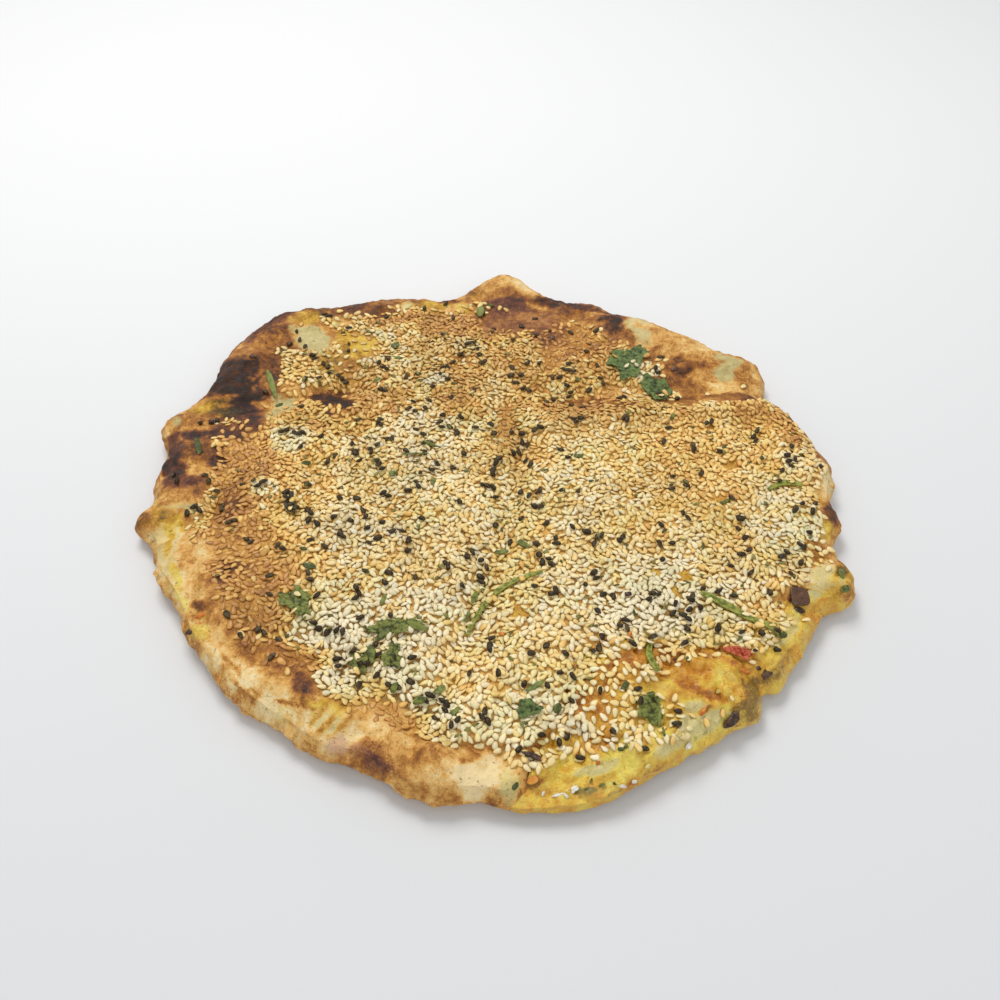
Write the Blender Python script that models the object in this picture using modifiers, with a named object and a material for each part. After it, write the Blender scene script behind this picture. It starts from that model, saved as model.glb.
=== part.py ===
"""Aloo naan: a round flatbread stuffed with spiced potato, topped with sesame, nigella and herbs.

Run it with blender --background --python part.py, or from Blender's text editor.
Units are metres, +Z up. The bread lies flat on z = 0 with the origin under the middle of its
outline. +X is its right side, -Y its near side, and a bearing is in degrees anticlockwise from +X.
"""

import math
import random

import bmesh
import bpy
import numpy as np
from mathutils import Vector
from mathutils.bvhtree import BVHTree

# Driving dimensions of the bread
RADIUS = 0.1255  # of the round that the lobes below depart from
PLATEAU = 0.0125  # height of the seeded top
EDGE_HEIGHT = 0.0052  # height of the widest line of the side
EDGE_ROUND = 0.015  # how far in the top starts to turn down to the side
UNDER_ROUND = 0.021  # how far in the underside leaves the table
RIM_INSET = 0.0125  # how far in the puffed rim is highest
RIM_WIDTH = 0.0095  # how quickly it falls off on both sides
SIDE_BAND = 0.003  # outermost band, which the side wall takes

# Driving dimensions of the layers
FLOOR_DOUGH = 0.0030  # dough under the potato
TOP_DOUGH = 0.0026  # dough over it
LAYER_RADIUS = 0.106  # reach of the potato layer inside the dough
LAYER_LEAST = 0.0015  # its thickness where a fold squeezes it
LAYER_SMOOTH = 0.008  # it takes the lowest dough within this reach
LAYER_LOOKS = 7  # in this many directions
GAP = 0.0003  # between two pieces that touch
LYING_GAP = 0.00040  # under a leaf, whose facets bridge those of the bread
LYING_REACH = 0.0009  # a leaf clears the highest bread within this reach of each of its corners

# How finely the shapes are cut before they are thinned out
BREAD_CELLS = 84
BREAD_TRIANGLES = 3300
FILLING_CELLS = 52
LAYER_CELLS = 12
WALL_CUTS = 3

# Lobes of the outline: bearing, reach out, half width in degrees
OUTLINE = {
    "right edge": (7, 0.0046, 13),
    "right notch": (23, -0.0055, 4.5),
    "back right corner": (31, 0.0082, 6),
    "flap shoulder": (43, 0.0026, 4),
    "flat back": (63, -0.0049, 17),
    "back shoulder": (68, 0.0028, 4),
    "back bump": (88, 0.0112, 7),
    "back dip": (99.5, -0.0044, 6),
    "upper left": (114, 0.0042, 6.5),
    "gold corner": (129.5, 0.0044, 5),
    "charred lobe": (135.5, 0.0155, 11.5),
    "charred shoulder": (149, 0.0060, 9),
    "left corner": (164.5, 0.0106, 6),
    "left edge": (177.5, 0.0032, 5),
    "pinched spike": (189, 0.0074, 2.8),
    "lower left": (213, -0.0030, 15),
    "lower left flat": (235, -0.0014, 11),
    "left of the puff": (251, -0.0026, 4),
    "bottom puff": (262, 0.0042, 6),
    "puff end": (273, 0.0026, 4.5),
    "near bulge": (286, 0.0062, 12.5),
    "filling bulge": (310, 0.0042, 7),
    "knob bay": (313.5, -0.0044, 2.2),
    "torn side": (321, 0.0030, 6),
    "torn bay": (333, -0.0046, 2.4),
    "right bump": (337.5, 0.0110, 6),
    "brown knob": (351, 0.0035, 3),
}

# Puffs of the rim: bearing, lift over the plateau, half width in degrees
RIM_PUFFS = {
    "right rim": (5, 0.0015, 14),
    "back right flap": (48, 0.0035, 18),
    "back bump": (89, 0.0038, 7),
    "back dip": (102, -0.0010, 8),
    "upper left": (122, 0.0035, 12),
    "charred lobe": (147, 0.0055, 9),
    "left corner": (165, 0.0020, 6),
    "left edge": (179, 0.0025, 8),
    "lower left": (214, 0.0025, 13),
    "lower left fold": (241, 0.0035, 9),
    "bottom puff": (262, 0.0045, 7),
    "right bump": (337, 0.0015, 6),
    "brown knob": (350, 0.0020, 3.5),
}

# Folds of the top: lift (a valley is below nought), half width, then the points of its line
FOLDS = {
    "crest": (0.0022, 0.008, [(0.112, 0.036), (0.084, 0.034), (0.052, 0.031), (0.024, 0.025)]),
    "valley": (-0.0030, 0.009, [(0.120, 0.051), (0.088, 0.049), (0.058, 0.045), (0.028, 0.042)]),
    "centre crease": (-0.0026, 0.0055, [(0.011, 0.004), (0.006, -0.027), (-0.003, -0.063), (-0.012, -0.1)]),
    "near groove": (-0.0032, 0.006, [(-0.058, -0.078), (-0.032, -0.097), (-0.013, -0.112), (0.006, -0.12)]),
    "left fold": (-0.0040, 0.006, [(-0.128, 0.036), (-0.108, 0.035), (-0.082, 0.040), (-0.055, 0.048)]),
    "spike fold": (-0.0030, 0.005, [(-0.128, -0.036), (-0.110, -0.030), (-0.100, -0.020)]),
}

# Blisters and swellings: centre x, y, half length, half width, turn in degrees, lift
SWELLINGS = {
    "left dome": (-0.045, -0.032, 0.044, 0.034, 20, 0.0014),
    "right dome": (0.060, -0.016, 0.048, 0.034, 0, 0.0014),
    "near dome": (0.030, -0.078, 0.026, 0.020, 20, 0.0012),
    "potato under the upper left": (-0.070, 0.076, 0.020, 0.013, -20, 0.0016),
    "dark oval blister": (-0.063, 0.037, 0.009, 0.004, -8, 0.0016),
    "inner char": (-0.090, 0.027, 0.010, 0.007, 30, 0.0014),
    "lower left blister": (-0.056, -0.097, 0.008, 0.006, -20, 0.0022),
    "lower left knuckle": (-0.073, -0.096, 0.010, 0.006, 40, 0.0016),
    "purple blister": (-0.032, -0.120, 0.012, 0.006, -15, 0.0014),
    "left knuckle": (-0.086, -0.060, 0.011, 0.008, 60, 0.0012),
    "right blister": (0.104, -0.058, 0.0055, 0.005, 0, 0.0022),
    "back blister": (0.080, 0.060, 0.007, 0.004, 0, 0.0012),
    "back ridge": (0.040, 0.090, 0.030, 0.007, -12, 0.0016),
}

# Where the top dough is torn and the potato lies bare: how far in it reaches, and the bearings
TEAR_DEPTH = 0.047
TEAR_LEFT = (272.5, 291)  # it opens between these two
TEAR_RIGHT = (303, 337)  # and closes between these
TEAR_PAST = 0.003  # how far outside the outline its line ends
TEAR_EASE = 1.5  # how softly it closes
TEAR_STEPS = 31  # points along its edge
CUTTER_TOP = 0.04  # well above the bread

# Ripples of a line round the bread: height, waves in a turn, shift in radians
OUTLINE_RIPPLES = ((0.0006, 13, 1.1), (0.0005, 22, 0.4))
SIDE_RIPPLES = ((0.0009, 5, 2.0), (0.0006, 9, 0))
TEAR_RIPPLES = ((0.0014, 17, 0), (0.0008, 41, 0))

# Unevenness of hand-pressed dough: lift, then two crossing waves, each with its x, its y and its shift
UNEVENNESS = (
    (0.0007, (150, 40, 1.3), (-30, 165, 0.4)),
    (0.0005, (270, 190, 0), (-160, 290, 1)),
)

# Potato and onion lumps in the tear: centre x, y, half length, half width, turn, lift
LUMPS = {
    "onion slice": (0.060, -0.112, 0.012, 0.006, 28, 0.0020),
    "edge onion": (0.047, -0.122, 0.010, 0.005, 12, 0.0016),
    "potato cube": (0.074, -0.096, 0.009, 0.007, 35, 0.0018),
    "near potato": (0.030, -0.108, 0.011, 0.008, 0, 0.0014),
    "browned potato": (0.088, -0.086, 0.011, 0.008, 50, 0.0016),
    "inner potato": (0.040, -0.094, 0.010, 0.007, -30, 0.0010),
    "right potato": (0.103, -0.074, 0.008, 0.006, 50, 0.0014),
    "corner crumb": (0.012, -0.122, 0.006, 0.004, 10, 0.0012),
}

# Toppings that lie loose. A leaf: centre x, y, half length, half width, turn, lobes
LEAVES = {
    "coriander_leaf_1": (0.0580, 0.0635, 0.0110, 0.0078, 60, 3),
    "coriander_leaf_2": (0.0685, 0.0470, 0.0092, 0.0058, -75, 3),
    "coriander_leaf_3": (-0.0625, -0.0640, 0.0072, 0.0048, -45, 3),
    "coriander_leaf_4": (-0.0290, -0.0745, 0.0095, 0.0034, 8, 2),
    "coriander_leaf_5": (-0.0395, -0.0862, 0.0048, 0.0036, 60, 3),
    "coriander_leaf_6": (-0.0290, -0.0858, 0.0048, 0.0036, 100, 3),
    "coriander_leaf_7": (0.0500, -0.1040, 0.0058, 0.0040, 80, 3),
    "coriander_leaf_8": (0.0130, -0.1050, 0.0042, 0.0034, 0, 3),
    "onion_flake": (-0.0710, -0.0195, 0.0062, 0.0026, -65, 2),
    "pepper_flake": (0.0795, -0.0835, 0.0045, 0.0025, -10, 2),
}
# A strip: half width, then its two ends and the point that its curve bends towards
STRIPS = {
    "herb_strip_1": (0.0013, (0.0710, -0.0610), (0.0945, -0.0775), (0.0840, -0.0680)),
    "herb_strip_2": (0.0011, (0.1020, -0.0130), (0.1150, -0.0108), (0.1110, -0.0070)),
    "herb_strip_3": (0.0009, (-0.0060, -0.0760), (0.0190, -0.0510), (-0.0020, -0.0580)),
    "herb_strip_4": (0.0011, (0.0525, -0.0800), (0.0535, -0.0915), (0.0500, -0.0860)),
}
LEAF_THICK = 0.0005
LEAF_WAVE = 0.0004  # how much a leaf rises and falls
LEAF_RIPPLE = (900, 800)  # how quickly, along x and y
LEAF_NOTCH = 0.30  # how deep its lobes are parted
LEAF_TEETH = 0.07  # and its edge toothed
STRIP_TAPER = 0.5  # of a strip's width is lost at its ends
LEAF_CELLS = 5
STRIP_CELLS = 9

# Seeds fused to the top: half length, half width, half thickness
SESAME = (0.00170, 0.00105, 0.00060)
NIGELLA = (0.00150, 0.00105, 0.00075)
SEED_SPACING = 0.0157
SEED_JITTER = 0.0022
SEED_EDGE = 0.014  # no seed nearer to the outline
SEED_CLEAR = 0.0042  # nor nearer to a leaf
SEED_SUNK = 0.35  # share of its half thickness that the middle lies above the dough
NIGELLA_EVERY = 4
SEED_TAPER = 0.22  # how much slimmer its tip is than its foot
SEED_SIDES = 5
SEED_RINGS = 4
SEED_DRAW = 41
GOLDEN_ANGLE = 137.508  # degrees from one place of a sunflower spiral to the next
RAY_TOP = 0.1  # where looks down at the bread start

COLOURS = {
    "dough": (0.62, 0.36, 0.13, 0.72),
    "potato": (0.72, 0.47, 0.08, 0.55),
    "herb": (0.10, 0.19, 0.04, 0.60),
    "onion": (0.07, 0.045, 0.03, 0.60),
    "pepper": (0.55, 0.10, 0.04, 0.45),
}


# Shape functions, all in metres


def wrapped(degrees):
    """An angle difference brought into -180 to 180."""
    return (degrees + 180) % 360 - 180


def lobes(table, bearing):
    """The sum of named lobes at each bearing in degrees."""
    return sum(reach * np.exp(-((wrapped(bearing - at) / half) ** 2)) for at, reach, half in table.values())


def ripples(table, bearing):
    """The sum of ripples of a line round the bread."""
    return sum(height * np.sin(waves * np.radians(bearing) + shift) for height, waves, shift in table)


def edge_radius(bearing):
    """How far out the bread reaches at a bearing, from the middle of its round."""
    return RADIUS + lobes(OUTLINE, bearing) + ripples(OUTLINE_RIPPLES, bearing)


def outline_centre():
    """The middle of the outline's box, which becomes the origin."""
    bearing = np.arange(0, 360, 0.5)
    x = edge_radius(bearing) * np.cos(np.radians(bearing))
    y = edge_radius(bearing) * np.sin(np.radians(bearing))
    return (x.min() + x.max()) / 2, (y.min() + y.max()) / 2


CENTRE_X, CENTRE_Y = outline_centre()


def edge_line_height(bearing):
    """The height of the widest line of the side."""
    return EDGE_HEIGHT + ripples(SIDE_RIPPLES, bearing)


def rounded(share):
    """A quarter round: 0 at the edge, 1 from share 1 inwards."""
    return np.sqrt(np.clip(1 - (1 - np.clip(share, 0, 1)) ** 2, 0, 1))


def ellipse_bump(x, y, centre_x, centre_y, half_length, half_width, turn, lift):
    """A smooth oval swelling."""
    c, s = math.cos(math.radians(turn)), math.sin(math.radians(turn))
    along = ((x - centre_x) * c + (y - centre_y) * s) / half_length
    across = (-(x - centre_x) * s + (y - centre_y) * c) / half_width
    return lift * np.exp(-(along**2) - across**2)


def distance_to_line(x, y, points):
    """The distance from each place to a line of straight runs."""
    best = np.full(np.shape(x), np.inf)
    for (ax, ay), (bx, by) in zip(points, points[1:]):
        run = (bx - ax) ** 2 + (by - ay) ** 2
        t = np.clip(((x - ax) * (bx - ax) + (y - ay) * (by - ay)) / run, 0, 1)
        best = np.minimum(best, np.hypot(x - ax - t * (bx - ax), y - ay - t * (by - ay)))
    return best


def unevenness(x, y):
    """The low unevenness of hand-pressed dough."""
    total = 0
    for lift, (ax, ay, a), (bx, by, b) in UNEVENNESS:
        total = total + lift * np.sin(ax * x + ay * y + a) * np.sin(bx * x + by * y + b)
    return total


def inside_edge(x, y):
    """The bearing of a place from the middle of the round, and how far in from the outline it is."""
    bearing = np.degrees(np.arctan2(y + CENTRE_Y, x + CENTRE_X)) % 360
    return bearing, edge_radius(bearing) - np.hypot(x + CENTRE_X, y + CENTRE_Y)


def open_height(x, y):
    """The height that the top has before its edge is rounded down to the side."""
    bearing, inside = inside_edge(x, y)
    rim = lobes(RIM_PUFFS, bearing) * np.exp(-(((inside - RIM_INSET) / RIM_WIDTH) ** 2))
    height = PLATEAU + rim + unevenness(x, y)
    for lift, half, points in FOLDS.values():
        height = height + lift * np.exp(-((distance_to_line(x, y, points) / half) ** 2))
    for swelling in SWELLINGS.values():
        height = height + ellipse_bump(x, y, *swelling)
    return height


def bread_point(share, bearing, level, lumps=()):
    """A point of the bread's skin. share runs from the middle to the edge, level from under to top."""
    reach = edge_radius(bearing)
    on_side = share > 1 - 1e-6
    distance = np.where(on_side, reach - SIDE_BAND * level**2, share * (reach - SIDE_BAND))
    x = distance * np.cos(np.radians(bearing)) - CENTRE_X
    y = distance * np.sin(np.radians(bearing)) - CENTRE_Y
    inside = reach - distance
    edge = edge_line_height(bearing)
    crown = open_height(x, y)
    for lump in lumps:
        crown = crown + ellipse_bump(x, y, *lump)
    top = edge + (crown - edge) * rounded(inside / EDGE_ROUND)
    under = edge * (1 - rounded(inside / UNDER_ROUND))
    return x, y, np.where(level >= 0, top, under)


def layer_point(share, bearing, level, inset):
    """A point of the potato layer, drawn in by an inset. It stays under the lowest dough near it."""
    distance = share * (LAYER_RADIUS - inset)
    x = distance * np.cos(np.radians(bearing)) - CENTRE_X
    y = distance * np.sin(np.radians(bearing)) - CENTRE_Y
    looks = [(x + LAYER_SMOOTH * math.cos(a), y + LAYER_SMOOTH * math.sin(a)) for a in range(LAYER_LOOKS)]
    crown = np.minimum.reduce([open_height(x, y)] + [open_height(*place) for place in looks])
    top = np.maximum(crown - TOP_DOUGH, FLOOR_DOUGH + LAYER_LEAST) - inset
    low = FLOOR_DOUGH + inset
    return x, y, low + (top - low) * (level + 1) / 2


def tear_edge(bearing):
    """How far out the torn edge of the top dough runs."""
    opening = np.interp(bearing, TEAR_LEFT, (0, 1))
    closing = np.interp(bearing, TEAR_RIGHT, (1, 0))
    depth = TEAR_DEPTH * np.sin(opening * math.pi / 2) * (1 - (1 - closing) ** TEAR_EASE)
    return edge_radius(bearing) + TEAR_PAST - depth + ripples(TEAR_RIPPLES, bearing)


# Building blocks


def disc_object(name, cells, point):
    """A closed disc of square cells: a cube whose faces are split, each vertex then moved to its point."""
    bm = bmesh.new()
    bmesh.ops.create_cube(bm, size=2)
    upright = [e for e in bm.edges if abs(e.verts[0].co.z - e.verts[1].co.z) > 1]
    bmesh.ops.subdivide_edges(bm, edges=upright, cuts=WALL_CUTS)
    level = [e for e in bm.edges if abs(e.verts[0].co.z - e.verts[1].co.z) < 1e-6]
    bmesh.ops.subdivide_edges(bm, edges=level, cuts=cells - 1, use_grid_fill=True)
    square = np.array([v.co for v in bm.verts])
    cx, cy, cz = square.T
    share = np.maximum(abs(cx), abs(cy))
    safe = np.where(share > 0, share, 1)
    sideways = abs(cx) >= abs(cy)
    bearing = np.where(
        sideways,
        np.where(cx < 0, 180, 0) + 45 * np.sign(cx) * cy / safe,
        90 * np.sign(cy) - 45 * np.sign(cy) * cx / safe,
    )
    for vert, x, y, z in zip(bm.verts, *point(share, bearing, cz)):
        vert.co = (x, y, z)
    bmesh.ops.triangulate(bm, faces=bm.faces, quad_method="FIXED")
    mesh = bpy.data.meshes.new(name)
    bm.to_mesh(mesh)
    bm.free()
    return bpy.data.objects.new(name, mesh)


def tear_prism(name, inset, low):
    """The wedge of space over the tear, its edge drawn in by an inset."""
    bearings = np.linspace(TEAR_LEFT[0], TEAR_RIGHT[1], TEAR_STEPS)
    inner = [(tear_edge(b) + inset, b) for b in bearings]
    outer = [(edge_radius(b) + 4 * TEAR_PAST, b) for b in bearings[::-1]]
    bm = bmesh.new()
    ring = []
    for distance, bearing in inner + outer:
        turn = math.radians(bearing)
        x = distance * math.cos(turn) - CENTRE_X
        y = distance * math.sin(turn) - CENTRE_Y
        ring.append(bm.verts.new((x, y, low)))
    base = bm.faces.new(ring)
    raised = bmesh.ops.extrude_face_region(bm, geom=[base])["geom"]
    lifted = [g for g in raised if isinstance(g, bmesh.types.BMVert)]
    bmesh.ops.translate(bm, verts=lifted, vec=(0, 0, CUTTER_TOP - low))
    bmesh.ops.recalc_face_normals(bm, faces=bm.faces)
    mesh = bpy.data.meshes.new(name)
    bm.to_mesh(mesh)
    bm.free()
    return bpy.data.objects.new(name, mesh)


def apply_modifiers(obj):
    """Turns what an object's modifiers show into its own mesh."""
    evaluated = obj.evaluated_get(bpy.context.evaluated_depsgraph_get())
    mesh = bpy.data.meshes.new_from_object(evaluated)
    obj.modifiers.clear()
    obj.data = mesh


def boolean(obj, operation, other):
    """Cuts, joins or crosses an object with another."""
    modifier = obj.modifiers.new(operation.title(), "BOOLEAN")
    modifier.operation = operation
    modifier.solver = "EXACT"
    modifier.object = other


def thin_out(obj, triangles):
    """Takes triangles away where the shape is plain, down to a number."""
    modifier = obj.modifiers.new("Thin out", "DECIMATE")
    modifier.ratio = triangles / len(obj.data.polygons)


def material(name):
    """A plain material in a food's colour."""
    red, green, blue, roughness = COLOURS[name]
    made = bpy.data.materials.new(name)
    made.use_nodes = True
    shader = made.node_tree.nodes["Principled BSDF"]
    shader.inputs["Base Color"].default_value = (red, green, blue, 1)
    shader.inputs["Roughness"].default_value = roughness
    return made


def surface_under(trees, places):
    """The highest point and its normal straight below some places, over several meshes."""
    down = Vector((0, 0, -1))
    hits = [tree.ray_cast(Vector((x, y, RAY_TOP)), down) for tree in trees for x, y in places]
    hits = [(hit[0], hit[1]) for hit in hits if hit[0] is not None]
    return max(hits, key=lambda hit: hit[0].z)


def places_round(x, y):
    """A place and four more close round it."""
    sides = ((0, 0), (1, 0), (-1, 0), (0, 1), (0, -1))
    return [(x + LYING_REACH * a, y + LYING_REACH * b) for a, b in sides]


def sheet_object(name, columns, rows, trees, flat, wave):
    """A thin wavy solid that lies on the bread. flat gives its place in plan from u and v, -1 to 1."""
    bm = bmesh.new()
    bmesh.ops.create_grid(bm, x_segments=columns, y_segments=rows, size=1)
    for vert in bm.verts:
        x, y = flat(vert.co.x, vert.co.y)
        rise = wave * (1 + math.sin(LEAF_RIPPLE[0] * x + 2) * math.cos(LEAF_RIPPLE[1] * y))
        below = surface_under(trees, places_round(x, y))[0].z
        vert.co = (x, y, below + LYING_GAP + rise)
    bmesh.ops.triangulate(bm, faces=bm.faces)
    mesh = bpy.data.meshes.new(name)
    bm.to_mesh(mesh)
    bm.free()
    obj = bpy.data.objects.new(name, mesh)
    skin = obj.modifiers.new("Thickness", "SOLIDIFY")
    skin.thickness = LEAF_THICK
    skin.offset = 1
    return obj


def leaf_object(name, trees):
    """A coriander leaf, or a flake of the same make: an oval with lobes."""
    centre_x, centre_y, half_length, half_width, turn, count = LEAVES[name]
    c, s = math.cos(math.radians(turn)), math.sin(math.radians(turn))

    def flat(u, v):
        share = max(abs(u), abs(v))
        angle = math.atan2(v, u)
        parted = LEAF_NOTCH * share * math.sin(count * angle / 2 + 0.5) ** 4
        reach = share * (1 - parted + LEAF_TEETH * math.cos(9 * angle))
        along = reach * half_length * math.cos(angle)
        across = reach * half_width * math.sin(angle)
        return centre_x + along * c - across * s, centre_y + along * s + across * c

    return sheet_object(name, LEAF_CELLS, LEAF_CELLS, trees, flat, LEAF_WAVE)


def strip_object(name, trees):
    """A strip of herb stem that follows one soft bend."""
    half_width, start, end, bend = STRIPS[name]

    def flat(u, v):
        t = (u + 1) / 2
        weights = ((1 - t) ** 2, 2 * t * (1 - t), t**2)
        x, y = (sum(w * p[k] for w, p in zip(weights, (start, bend, end))) for k in (0, 1))
        slope_x = 2 * (1 - t) * (bend[0] - start[0]) + 2 * t * (end[0] - bend[0])
        slope_y = 2 * (1 - t) * (bend[1] - start[1]) + 2 * t * (end[1] - bend[1])
        side = v * half_width * (1 - STRIP_TAPER * u**4) / math.hypot(slope_x, slope_y)
        return x - side * slope_y, y + side * slope_x

    return sheet_object(name, STRIP_CELLS, 1, trees, flat, LEAF_WAVE / 2)


def seed_object(name, size, hit, normal, turn):
    """A seed of few sides, lying on its flat side with its tip narrower than its foot."""
    half_length, half_width, half_thick = size
    bm = bmesh.new()
    bmesh.ops.create_uvsphere(bm, u_segments=SEED_SIDES, v_segments=SEED_RINGS, radius=1)
    tilt = Vector((0, 0, 1)).rotation_difference(normal).to_matrix()
    c, s = math.cos(turn), math.sin(turn)
    for vert in bm.verts:
        along = vert.co.z
        taper = 1 - SEED_TAPER * along
        across = vert.co.x * half_width * taper
        up = vert.co.y * half_thick * taper + SEED_SUNK * half_thick
        flat = Vector((along * half_length * c - across * s, along * half_length * s + across * c, up))
        vert.co = hit + tilt @ flat
    bmesh.ops.recalc_face_normals(bm, faces=bm.faces)
    mesh = bpy.data.meshes.new(name)
    bm.to_mesh(mesh)
    bm.free()
    return bpy.data.objects.new(name, mesh)


def in_tear(bearing, inside, margin):
    """Whether a place is in the tear, or within a margin of its edge."""
    if not TEAR_LEFT[0] < bearing < TEAR_RIGHT[1]:
        return False
    return inside < edge_radius(bearing) - tear_edge(bearing) + margin


def near_topping(x, y):
    """Whether a leaf, flake or strip lies too close for a seed."""
    for centre_x, centre_y, half_length, _, _, _ in LEAVES.values():
        if math.hypot(x - centre_x, y - centre_y) < half_length + SEED_CLEAR:
            return True
    lines = [[start, bend, end] for _, start, end, bend in STRIPS.values()]
    return any(distance_to_line(x, y, line) < SEED_CLEAR for line in lines)


def seed_places():
    """Places for the seeds: a sunflower spiral, each moved a little by a seeded draw."""
    draw = random.Random(SEED_DRAW)
    count = int((RADIUS / SEED_SPACING) ** 2 * math.pi)
    places = []
    for i in range(count):
        distance = SEED_SPACING * math.sqrt((i + 0.5) / math.pi)
        turn = i * math.radians(GOLDEN_ANGLE)
        x = distance * math.cos(turn) + draw.uniform(-SEED_JITTER, SEED_JITTER)
        y = distance * math.sin(turn) + draw.uniform(-SEED_JITTER, SEED_JITTER)
        spin = draw.uniform(0, 2 * math.pi)
        bearing, inside = inside_edge(x, y)
        if inside < SEED_EDGE or in_tear(bearing, inside, SEED_CLEAR) or near_topping(x, y):
            continue
        places.append((x, y, spin))
    return places


def fuse_seeds(crust, collection):
    """Joins the seeds to the top by one union, then takes the loose ones away."""
    tree = tree_of(crust)
    for i, (x, y, spin) in enumerate(seed_places()):
        size = NIGELLA if i % NIGELLA_EVERY == 0 else SESAME
        hit, normal = surface_under([tree], [(x, y)])
        collection.objects.link(seed_object(f"seed_{i:03d}", size, hit, normal, spin))
    modifier = crust.modifiers.new("Seeds", "BOOLEAN")
    modifier.operation = "UNION"
    modifier.solver = "EXACT"
    modifier.operand_type = "COLLECTION"
    modifier.collection = collection
    apply_modifiers(crust)
    for seed in list(collection.objects):
        bpy.data.objects.remove(seed)


def tree_of(obj):
    """An object's mesh, ready to be looked up from above."""
    bm = bmesh.new()
    bm.from_mesh(obj.data)
    bmesh.ops.triangulate(bm, faces=bm.faces)
    tree = BVHTree.FromBMesh(bm)
    bm.free()
    return tree


def collection_named(name):
    """A new collection in the scene."""
    made = bpy.data.collections.new(name)
    bpy.context.scene.collection.children.link(made)
    return made


# The model


def make_crust(bread, cutters):
    """The dough: the whole bread less its potato layer and the tear."""
    crust = disc_object("crust", BREAD_CELLS, bread_point)
    bread.objects.link(crust)
    thin_out(crust, BREAD_TRIANGLES)
    apply_modifiers(crust)
    layer = disc_object("layer_cutter", LAYER_CELLS, lambda s, b, v: layer_point(s, b, v, 0))
    tear = tear_prism("tear_cutter", 0, FLOOR_DOUGH - GAP)
    for cutter in (layer, tear):
        cutters.objects.link(cutter)
        boolean(crust, "DIFFERENCE", cutter)
    apply_modifiers(crust)
    return crust


def make_filling(bread, cutters):
    """The potato: a layer through the bread, and the bare part with its lumps in the tear."""
    lumps = list(LUMPS.values())
    filling = disc_object("filling", FILLING_CELLS, lambda s, b, v: bread_point(s, b, v, lumps))
    bread.objects.link(filling)
    bare = tear_prism("bare_part", GAP, FLOOR_DOUGH)
    layer = disc_object("layer", LAYER_CELLS, lambda s, b, v: layer_point(s, b, v, GAP))
    for other, operation in ((bare, "INTERSECT"), (layer, "UNION")):
        cutters.objects.link(other)
        boolean(filling, operation, other)
    apply_modifiers(filling)
    return filling


def main():
    for obj in list(bpy.data.objects):
        bpy.data.objects.remove(obj)
    bread = collection_named("aloo_naan")
    cutters = collection_named("cutters")
    seeds = collection_named("seeds")

    crust = make_crust(bread, cutters)
    filling = make_filling(bread, cutters)
    for cutter in list(cutters.objects):
        bpy.data.objects.remove(cutter)

    trees = [tree_of(crust), tree_of(filling)]
    toppings = [leaf_object(name, trees) for name in LEAVES]
    toppings += [strip_object(name, trees) for name in STRIPS]
    fuse_seeds(crust, seeds)

    finishes = {name: material(name) for name in COLOURS}
    crust.data.materials.append(finishes["dough"])
    filling.data.materials.append(finishes["potato"])
    for topping in toppings:
        bread.objects.link(topping)
        kind = topping.name.split("_")[0]
        topping.data.materials.append(finishes.get(kind, finishes["herb"]))


main()
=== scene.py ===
# %% [markdown]
# # An aloo naan, from its crust to its seeds
#
# An aloo naan is a round of leavened dough closed over spiced potato, pressed flat, strewn with sesame
# and nigella seeds and slapped onto the hot wall of a clay oven. This lesson dresses a plain solid of one.
# The solid is loaded first and stays the frame that all else is fitted to: every length is in metres,
# the bread lies on z = 0, and its near side is towards -Y.

import math
import random

import bpy
import numpy as np
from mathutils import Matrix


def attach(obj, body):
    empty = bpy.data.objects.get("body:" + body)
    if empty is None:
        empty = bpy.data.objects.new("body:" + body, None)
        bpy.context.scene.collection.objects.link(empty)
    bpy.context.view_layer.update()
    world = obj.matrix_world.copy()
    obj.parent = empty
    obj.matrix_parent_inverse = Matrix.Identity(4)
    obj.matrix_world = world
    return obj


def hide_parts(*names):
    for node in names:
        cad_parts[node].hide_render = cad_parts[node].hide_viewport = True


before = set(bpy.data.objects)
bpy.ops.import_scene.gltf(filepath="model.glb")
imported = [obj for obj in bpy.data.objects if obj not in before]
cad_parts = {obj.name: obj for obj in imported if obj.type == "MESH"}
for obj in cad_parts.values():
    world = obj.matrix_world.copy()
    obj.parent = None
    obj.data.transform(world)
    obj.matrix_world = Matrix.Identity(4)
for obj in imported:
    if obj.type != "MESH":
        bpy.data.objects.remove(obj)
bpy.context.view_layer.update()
bpy.ops.object.select_all(action="DESELECT")

# %% [markdown]
# ## The camera
#
# The bread is seen from the front and above, close by, so its near rim is larger than its far rim.
# A lens as long as the sensor is wide gives that perspective, and the camera looks down at 46 degrees.

# %% Camera
MM = 0.001
CAMERA_PLACE = (0.0045, -0.2684, 0.2738)
CAMERA_DIP = 46  # degrees below level

camera_data = bpy.data.cameras.new("camera")
camera_data.lens = camera_data.sensor_width = 36
camera = bpy.data.objects.new("camera", camera_data)
camera.location = CAMERA_PLACE
camera.rotation_euler = (math.radians(90 - CAMERA_DIP), 0, 0)
bpy.context.collection.objects.link(camera)
bpy.context.scene.camera = camera
print("camera at", CAMERA_PLACE)

# %% [markdown]
# ## The outline
#
# A hand-stretched bread is round only roughly. Its outline is a circle with named lobes: each has a
# bearing in degrees anticlockwise from +X, a reach outwards and a half width. A sum of smooth bumps
# gives one closed line with no corners to join, and each lobe can be moved alone.

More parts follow.
